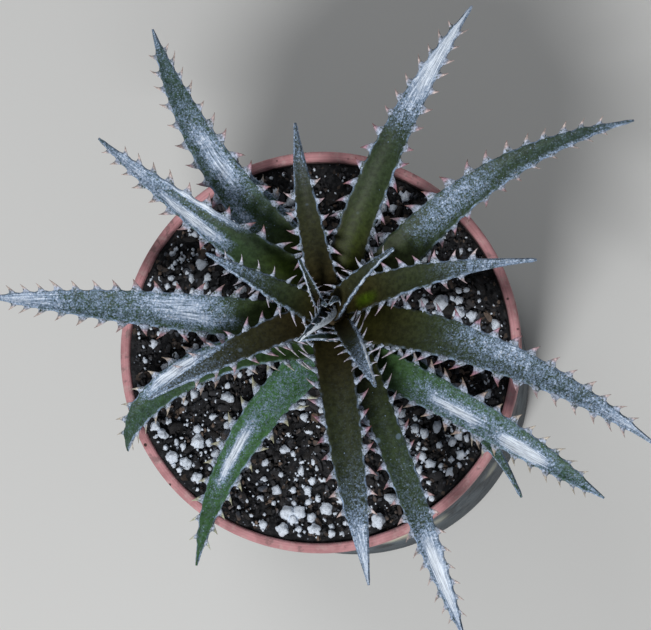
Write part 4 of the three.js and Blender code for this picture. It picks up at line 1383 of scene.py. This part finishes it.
def add_tooth(mesh, blank, blade, leaves, share, side, draw):
    """A flat, hooked tooth on a broad foot, drawn out from the margin."""
    layers = mesh.verts.layers.float
    at, along, across, up = blade.axes(share)
    young = max(1 - ease(*YOUNG_SHARES, share), ease(*YOUNG_LEVELS, blade.leaf["level"]))
    grown = blend_between(TOOTH_ON_NARROW, 1, blade.leaf["width"] / WIDEST) * blade.tooth_size(side)
    size = grown * blend_between(1, TOOTH_AT_TIP, share**3) * draw.uniform(*TOOTH_SPREAD)
    length = leaves.tooth_length * size * blend_between(1, YOUNG_TOOTH_LENGTH, young)
    foot = leaves.tooth_foot * size * blend_between(1, YOUNG_TOOTH_FOOT, young)
    lean_angle = blend_between(TOOTH_LEAN_ROOT, TOOTH_LEAN_TIP, share) + draw.gauss(0, TOOTH_LEAN_SPREAD)
    lean = math.tan(math.radians(lean_angle))
    curl = math.copysign(draw.uniform(*TOOTH_CURL), lean)
    sideways, height, slope = blade.section(share, side, leaves)
    slope = slope if "roll" in blade.leaf else math.copysign(math.atan(TOOTH_UPTURN), side)
    outwards = (across * math.cos(slope) + up * math.sin(slope)) * side
    through = up * math.cos(slope) - across * math.sin(slope)
    foot_place = at + across * sideways + up * height - through * leaves.edge / 2
    laid = len(mesh.verts)
    mesh.from_mesh(blank)
    mesh.verts.ensure_lookup_table()
    for spot in mesh.verts[laid:]:
        rise = spot.co.z + 0.5
        round_turn = math.atan2(spot.co.y, spot.co.x)
        reach = (length + TOOTH_SUNK) * rise
        out = reach - TOOTH_SUNK
        shown = max(0, out / length)
        flank = min(1, max(0, out / length + 0.12))
        half_foot = foot / 2 * (0.4 * (1 - flank) ** 2 + 0.6 * (1 - rise**1.3)) + TOOTH_POINT_WIDTH
        depth = blend_between(leaves.edge * TOOTH_FOOT_DEPTH, TOOTH_POINT_DEPTH, rise)
        slide = lean * max(0, out) * 0.7 + curl * length * shown**2
        lengthwise = along * (math.cos(round_turn) * half_foot + slide)
        spot.co = foot_place + outwards * out + lengthwise + through * math.sin(round_turn) * depth
        write(spot, layers, share=share, side=side, rise=shown, young=young)


def build_leaf(leaf, leaves, blank, materials):
    blade = BladeForm(leaf)
    draw = random.Random(leaf["name"])
    mesh = leaf_mesh()
    places = [tooth_shares(blade, leaves, draw) for _ in range(2)]
    add_blade(mesh, blade, leaves, places)
    teeth = leaf_mesh()
    for side, shares in zip((-1, 1), places):
        for share in shares if blade.tooth_size(side) else ():
            add_tooth(teeth, blank, blade, leaves, share, side, draw)
    for face in teeth.faces:
        face.material_index = 1
    grown = bpy.data.meshes.new("teeth")
    teeth.to_mesh(grown)
    teeth.free()
    mesh.from_mesh(grown)
    bpy.data.meshes.remove(grown)
    for spot in mesh.verts:
        write(spot, mesh.verts.layers.float, fresh=leaf["fresh"], dark=leaf["dark"])
    bmesh.ops.recalc_face_normals(mesh, faces=mesh.faces)
    smooth_faces(mesh)
    finished_piece(f"{leaf['name']}_blade", mesh, materials, "leaf", leaf["name"])


def flesh_colour(skin, leaves, place, share):
    """Bare flesh: olive at the root, green, and darker outwards, tinted from leaf to leaf."""
    flesh = skin.mix(skin.remap(share, 0.1, 0.42), leaves.olive, leaves.green)
    flesh = skin.mix(skin.remap(share, 0.4, 0.9), flesh, leaves.outer)
    young = skin.shaded(leaves.fresh, skin.remap(share, 0.45, 0.85, 1.0, 0.62))
    flesh = skin.mix(skin.attribute("fresh"), flesh, young)
    browning = skin.times(skin.attribute("dark"), skin.remap(share, 0.0, 1.0, 1.0, 0.6))
    flesh = skin.mix(browning, flesh, leaves.brown)
    # Painted glow: bright green highlights at some roots.
    flesh = skin.mix(skin.attribute("glow"), flesh, leaves.glow)
    mottle = skin.noise(place, 700.0, detail=4.0, roughness=0.6)
    return skin.shaded(flesh, skin.remap(mottle, 0.3, 0.7, 0.65, 1.3))


def blade_streaks(skin, share, side):
    """Fine lines along the blade that sweep out to its margins."""
    swept = skin.times(skin.maths("ABSOLUTE", side), 1.4)
    lengthwise = skin.joined(skin.times(side, 5.0), skin.plus(skin.times(share, 8.0), swept))
    return skin.noise(lengthwise, 1.8, detail=6.0, roughness=0.72, distortion=0.4)


def scale_mask(skin, place, share, side, cover, level):
    """Where scales lie: by their level, in a broken line on the margins, and as dots of frost."""
    edge = skin.remap(skin.maths("ABSOLUTE", side), 0.88, 0.99)
    edge = skin.times(edge, skin.remap(skin.noise(place, 360.0), 0.38, 0.62, 0.05, 1.0))
    edge = skin.times(edge, skin.remap(share, 0.12, 0.5, 0.15, 1.0))
    dots = skin.cells(place, 1700.0)
    sparse = skin.minus(1.0, skin.times(cover, 1.3))
    frosted = skin.maths("GREATER_THAN", dots["Color"], sparse)
    frost = skin.times(skin.remap(dots["Distance"], 0.36, 0.2, 0.0, 0.85), frosted)
    return skin.larger(skin.remap(level, 0.0, 1.0), skin.larger(edge, frost))


def scale_colour(skin, leaves, place, level, streaks, brushed):
    """The silver of the scales, with tan ones among them: bright where they lie thick and where sheen
    paints highlights.
    """
    layer = skin.mix(skin.remap(level, 0.6, 1.8), leaves.silver, leaves.silver_bright_and_highlight)
    tan = skin.remap(skin.noise(place, 1200.0, detail=2.0), 0.61, 0.7, 0.0, 0.5)
    layer = skin.mix(skin.times(tan, skin.minus(1.0, brushed)), layer, leaves.scale_tan)
    fine = skin.noise(place, 2100.0)
    brush = skin.times(skin.minus(streaks, fine), brushed)
    return skin.shaded(layer, skin.remap(skin.plus(fine, brush), 0.3, 0.7, 0.6, 1.4))


def blade_material(leaves):
    skin = Skin("silver_scaled_blade")
    place = skin.place()
    share, side, cover = (skin.attribute(name) for name in ("share", "side", "silver"))
    streaks = blade_streaks(skin, share, side)
    streak = skin.times(skin.minus(streaks, 0.5), STREAK_CONTRAST)
    streak = skin.times(streak, skin.remap(cover, 0.3, 1.1, 0.05, 1.0))
    # Where the cover runs high, as in the painted sheen highlights, the scales turn to brushed streaks.
    brushed = skin.remap(cover, 0.55, 1.2)
    contrast = skin.minus(1.0, skin.times(brushed, 0.45))
    level = skin.scales(place, cover, streak, contrast)
    scales = scale_mask(skin, place, share, side, cover, level)
    layer = scale_colour(skin, leaves, place, level, streaks, brushed)
    colour = skin.mix(scales, flesh_colour(skin, leaves, place, share), layer)
    spots = skin.dots(place, scale=150.0, reach=0.17, core=0.1, bare=0.74)
    colour = skin.mix(skin.times(spots, 0.35), colour, leaves.silver)
    skin.shader.inputs["Specular IOR Level"].default_value = BLADE_GLOSS
    height = skin.plus(skin.grain(place, scale=1700.0, coarse=0.5), skin.times(scales, 0.5))
    height = skin.plus(height, skin.times(streak, 0.2))
    return skin.finished(colour, skin.remap(scales, 0, 1, 0.45, 0.65), height, 0.1 * MM, 0.7)


def tooth_material(leaves):
    skin = Skin("horny_tooth")
    place = skin.place()
    share, rise, young, fresh = (skin.attribute(name) for name in ("share", "rise", "young", "fresh"))
    foot = skin.remap(skin.scales(place, coverage=0.8), 0.1, 0.9)
    foot = skin.mix(foot, leaves.green, leaves.tooth_foot_colour)
    middle = skin.mix(skin.remap(share, 0.45, 0.75), leaves.tooth_middle, leaves.tooth_outer)
    pointed = skin.times(skin.remap(rise, 0.55, 0.95), skin.remap(share, 0.4, 0.7, 1.0, 0.4))
    horn = skin.mix(pointed, middle, leaves.tooth_tip)
    horn = skin.mix(skin.times(young, 0.88), horn, leaves.tooth_young)
    horn = skin.mix(skin.times(fresh, 0.75), horn, leaves.tooth_fresh)
    colour = skin.mix(skin.remap(rise, 0.15, 0.6), foot, horn)
    streaks = skin.noise(place, 1300.0, detail=4.0, roughness=0.7)
    colour = skin.shaded(colour, skin.remap(streaks, 0.34, 0.66, 0.5, 1.4))
    skin.shader.inputs["Specular IOR Level"].default_value = TOOTH_GLOSS
    return skin.finished(colour, skin.remap(rise, 0, 1, 0.6, 0.4), streaks, 0.05 * MM, 0.5)


# Stage ---------------------------------------------------------------------------------------

TARGET = Vector((1.85, 10.7, 122.0)) * MM
LENS_MM = 167.06
SENSOR_MM = 36.0
CLIP_START = 0.01
CLIP_END = 20
FLOOR_SIZE = 4.0
FLOOR_CELLS = 8
FLOOR_ROUGHNESS = 0.9
KEY_PLACE = (-0.2, -0.82, 1.2)
KEY_SIZE = 0.38
FILL_PLACE = (-0.5, 0.7, 1.1)
FILL_SIZE = 0.7
SKY_COLOUR = (0.93, 0.96, 1.0, 1)


def floor_material(stage):
    skin = Skin("pale_floor")
    soft = skin.noise(skin.place(), 3.0, detail=2.0)
    colour = skin.shaded(stage.floor, skin.remap(soft, 0.3, 0.7, 0.985, 1.015))
    skin.feed(skin.shader.inputs["Base Color"], colour)
    skin.shader.inputs["Roughness"].default_value = FLOOR_ROUGHNESS
    return skin.material


def build_floor(stage):
    mesh = bmesh.new()
    bmesh.ops.create_grid(mesh, x_segments=FLOOR_CELLS, y_segments=FLOOR_CELLS, size=FLOOR_SIZE / 2)
    data = bpy.data.meshes.new("floor")
    mesh.to_mesh(data)
    mesh.free()
    data.materials.append(floor_material(stage))
    floor = bpy.data.objects.new("floor", data)
    bpy.context.scene.collection.objects.link(floor)


def look_from(place, target, upright):
    """The matrix of a lamp or camera that stands at a place and looks at the target."""
    back = (place - target).normalized()
    right = upright.cross(back).normalized()
    up = back.cross(right)
    turn = Matrix((right, up, back)).transposed().to_4x4()
    return Matrix.Translation(place) @ turn


def add_lamp(name, place, size, power):
    lamp = bpy.data.lights.new(name, "AREA")
    lamp.shape = "DISK"
    lamp.size = size
    lamp.energy = power
    holder = bpy.data.objects.new(name, lamp)
    holder.matrix_world = look_from(Vector(place), TARGET, Vector((0, 1, 0.01)))
    bpy.context.scene.collection.objects.link(holder)


def add_camera(stage):
    lens = bpy.data.cameras.new("camera")
    lens.lens = LENS_MM
    lens.sensor_width = SENSOR_MM
    lens.sensor_fit = "HORIZONTAL"
    lens.clip_start = CLIP_START
    lens.clip_end = CLIP_END
    side = Vector((math.cos(stage.turn), math.sin(stage.turn), 0))
    back = side * math.sin(stage.tilt) + UP * math.cos(stage.tilt)
    camera = bpy.data.objects.new("camera", lens)
    camera.matrix_world = look_from(TARGET + back * stage.distance, TARGET, Vector((0, 1, 0)))
    bpy.context.scene.collection.objects.link(camera)
    bpy.context.scene.camera = camera


def build_stage(stage):
    build_floor(stage)
    add_lamp("key_lamp", KEY_PLACE, KEY_SIZE, stage.key_power)
    add_lamp("fill_lamp", FILL_PLACE, FILL_SIZE, stage.fill_power)
    world = bpy.data.worlds.new("studio")
    world.use_nodes = True
    background = world.node_tree.nodes["Background"]
    background.inputs["Color"].default_value = SKY_COLOUR
    background.inputs["Strength"].default_value = stage.sky
    bpy.context.scene.world = world
    bpy.context.scene.view_settings.view_transform = "Standard"
    add_camera(stage)


# Operators and panel -------------------------------------------------------------------------


class DYCKIA_OT_pot(bpy.types.Operator):
    """Builds the clay pot with its lip and drainage holes"""

    bl_idname = "dyckia.pot"
    bl_label = "Clay pot"

    def execute(self, context):
        build_pot(context.scene.dyckia_pot)
        return {"FINISHED"}


class DYCKIA_OT_soil(bpy.types.Operator):
    """Builds the bed of soil that fills the pot"""

    bl_idname = "dyckia.soil"
    bl_label = "Soil bed"

    def execute(self, context):
        build_soil_bed(context.scene.dyckia_pot, context.scene.dyckia_soil)
        return {"FINISHED"}


class DYCKIA_OT_perlite(bpy.types.Operator):
    """Scatters the perlite grains over the soil"""

    bl_idname = "dyckia.perlite"
    bl_label = "Perlite"

    def execute(self, context):
        build_perlite(context.scene.dyckia_pot, context.scene.dyckia_soil)
        return {"FINISHED"}


class DYCKIA_OT_bark(bpy.types.Operator):
    """Scatters bark chips and crumbs over the soil"""

    bl_idname = "dyckia.bark"
    bl_label = "Bark"

    def execute(self, context):
        build_bark(context.scene.dyckia_pot, context.scene.dyckia_soil)
        return {"FINISHED"}


class DYCKIA_OT_stem(bpy.types.Operator):
    """Builds the short stem under the leaves"""

    bl_idname = "dyckia.stem"
    bl_label = "Stem"

    def execute(self, context):
        build_stem(context.scene.dyckia_pot, context.scene.dyckia_soil)
        return {"FINISHED"}


class DYCKIA_OT_leaves(bpy.types.Operator):
    """Builds every leaf of the rosette with its teeth"""

    bl_idname = "dyckia.leaves"
    bl_label = "Leaves"

    def execute(self, context):
        leaves = context.scene.dyckia_leaves
        materials = [blade_material(leaves), tooth_material(leaves)]
        blank = tooth_blank()
        for leaf in LEAVES:
            build_leaf(leaf, leaves, blank, materials)
        bpy.data.meshes.remove(blank)
        return {"FINISHED"}


class DYCKIA_OT_stage(bpy.types.Operator):
    """Sets up the floor, the lamps and the camera"""

    bl_idname = "dyckia.stage"
    bl_label = "Stage"

    def execute(self, context):
        build_stage(context.scene.dyckia_stage)
        return {"FINISHED"}


OPERATORS = (
    DYCKIA_OT_pot,
    DYCKIA_OT_soil,
    DYCKIA_OT_perlite,
    DYCKIA_OT_bark,
    DYCKIA_OT_stem,
    DYCKIA_OT_leaves,
    DYCKIA_OT_stage,
)
SETTINGS = {
    "dyckia_pot": PotSettings,
    "dyckia_soil": SoilSettings,
    "dyckia_leaves": LeafSettings,
    "dyckia_stage": StageSettings,
}


class DYCKIA_PT_panel(bpy.types.Panel):
    """Lists the settings and the pieces of the potted dyckia"""

    bl_idname = "DYCKIA_PT_panel"
    bl_label = "Potted dyckia"
    bl_space_type = "VIEW_3D"
    bl_region_type = "UI"
    bl_category = "Dyckia"

    def draw(self, context):
        for name, settings in SETTINGS.items():
            box = self.layout.box()
            for setting in settings.__annotations__:
                box.prop(getattr(context.scene, name), setting)
        for operator in OPERATORS:
            self.layout.operator(operator.bl_idname)


def register():
    for name, settings in SETTINGS.items():
        bpy.utils.register_class(settings)
        setattr(bpy.types.Scene, name, bpy.props.PointerProperty(type=settings))
    for kind in (*OPERATORS, DYCKIA_PT_panel):
        bpy.utils.register_class(kind)


def unregister():
    for kind in (DYCKIA_PT_panel, *reversed(OPERATORS)):
        bpy.utils.unregister_class(kind)
    for name, settings in SETTINGS.items():
        delattr(bpy.types.Scene, name)
        bpy.utils.unregister_class(settings)


def main():
    register()
    bpy.ops.dyckia.pot()
    bpy.ops.dyckia.soil()
    bpy.ops.dyckia.perlite()
    bpy.ops.dyckia.bark()
    bpy.ops.dyckia.stem()
    bpy.ops.dyckia.leaves()
    bpy.ops.dyckia.stage()


if __name__ == "__main__":
    main()
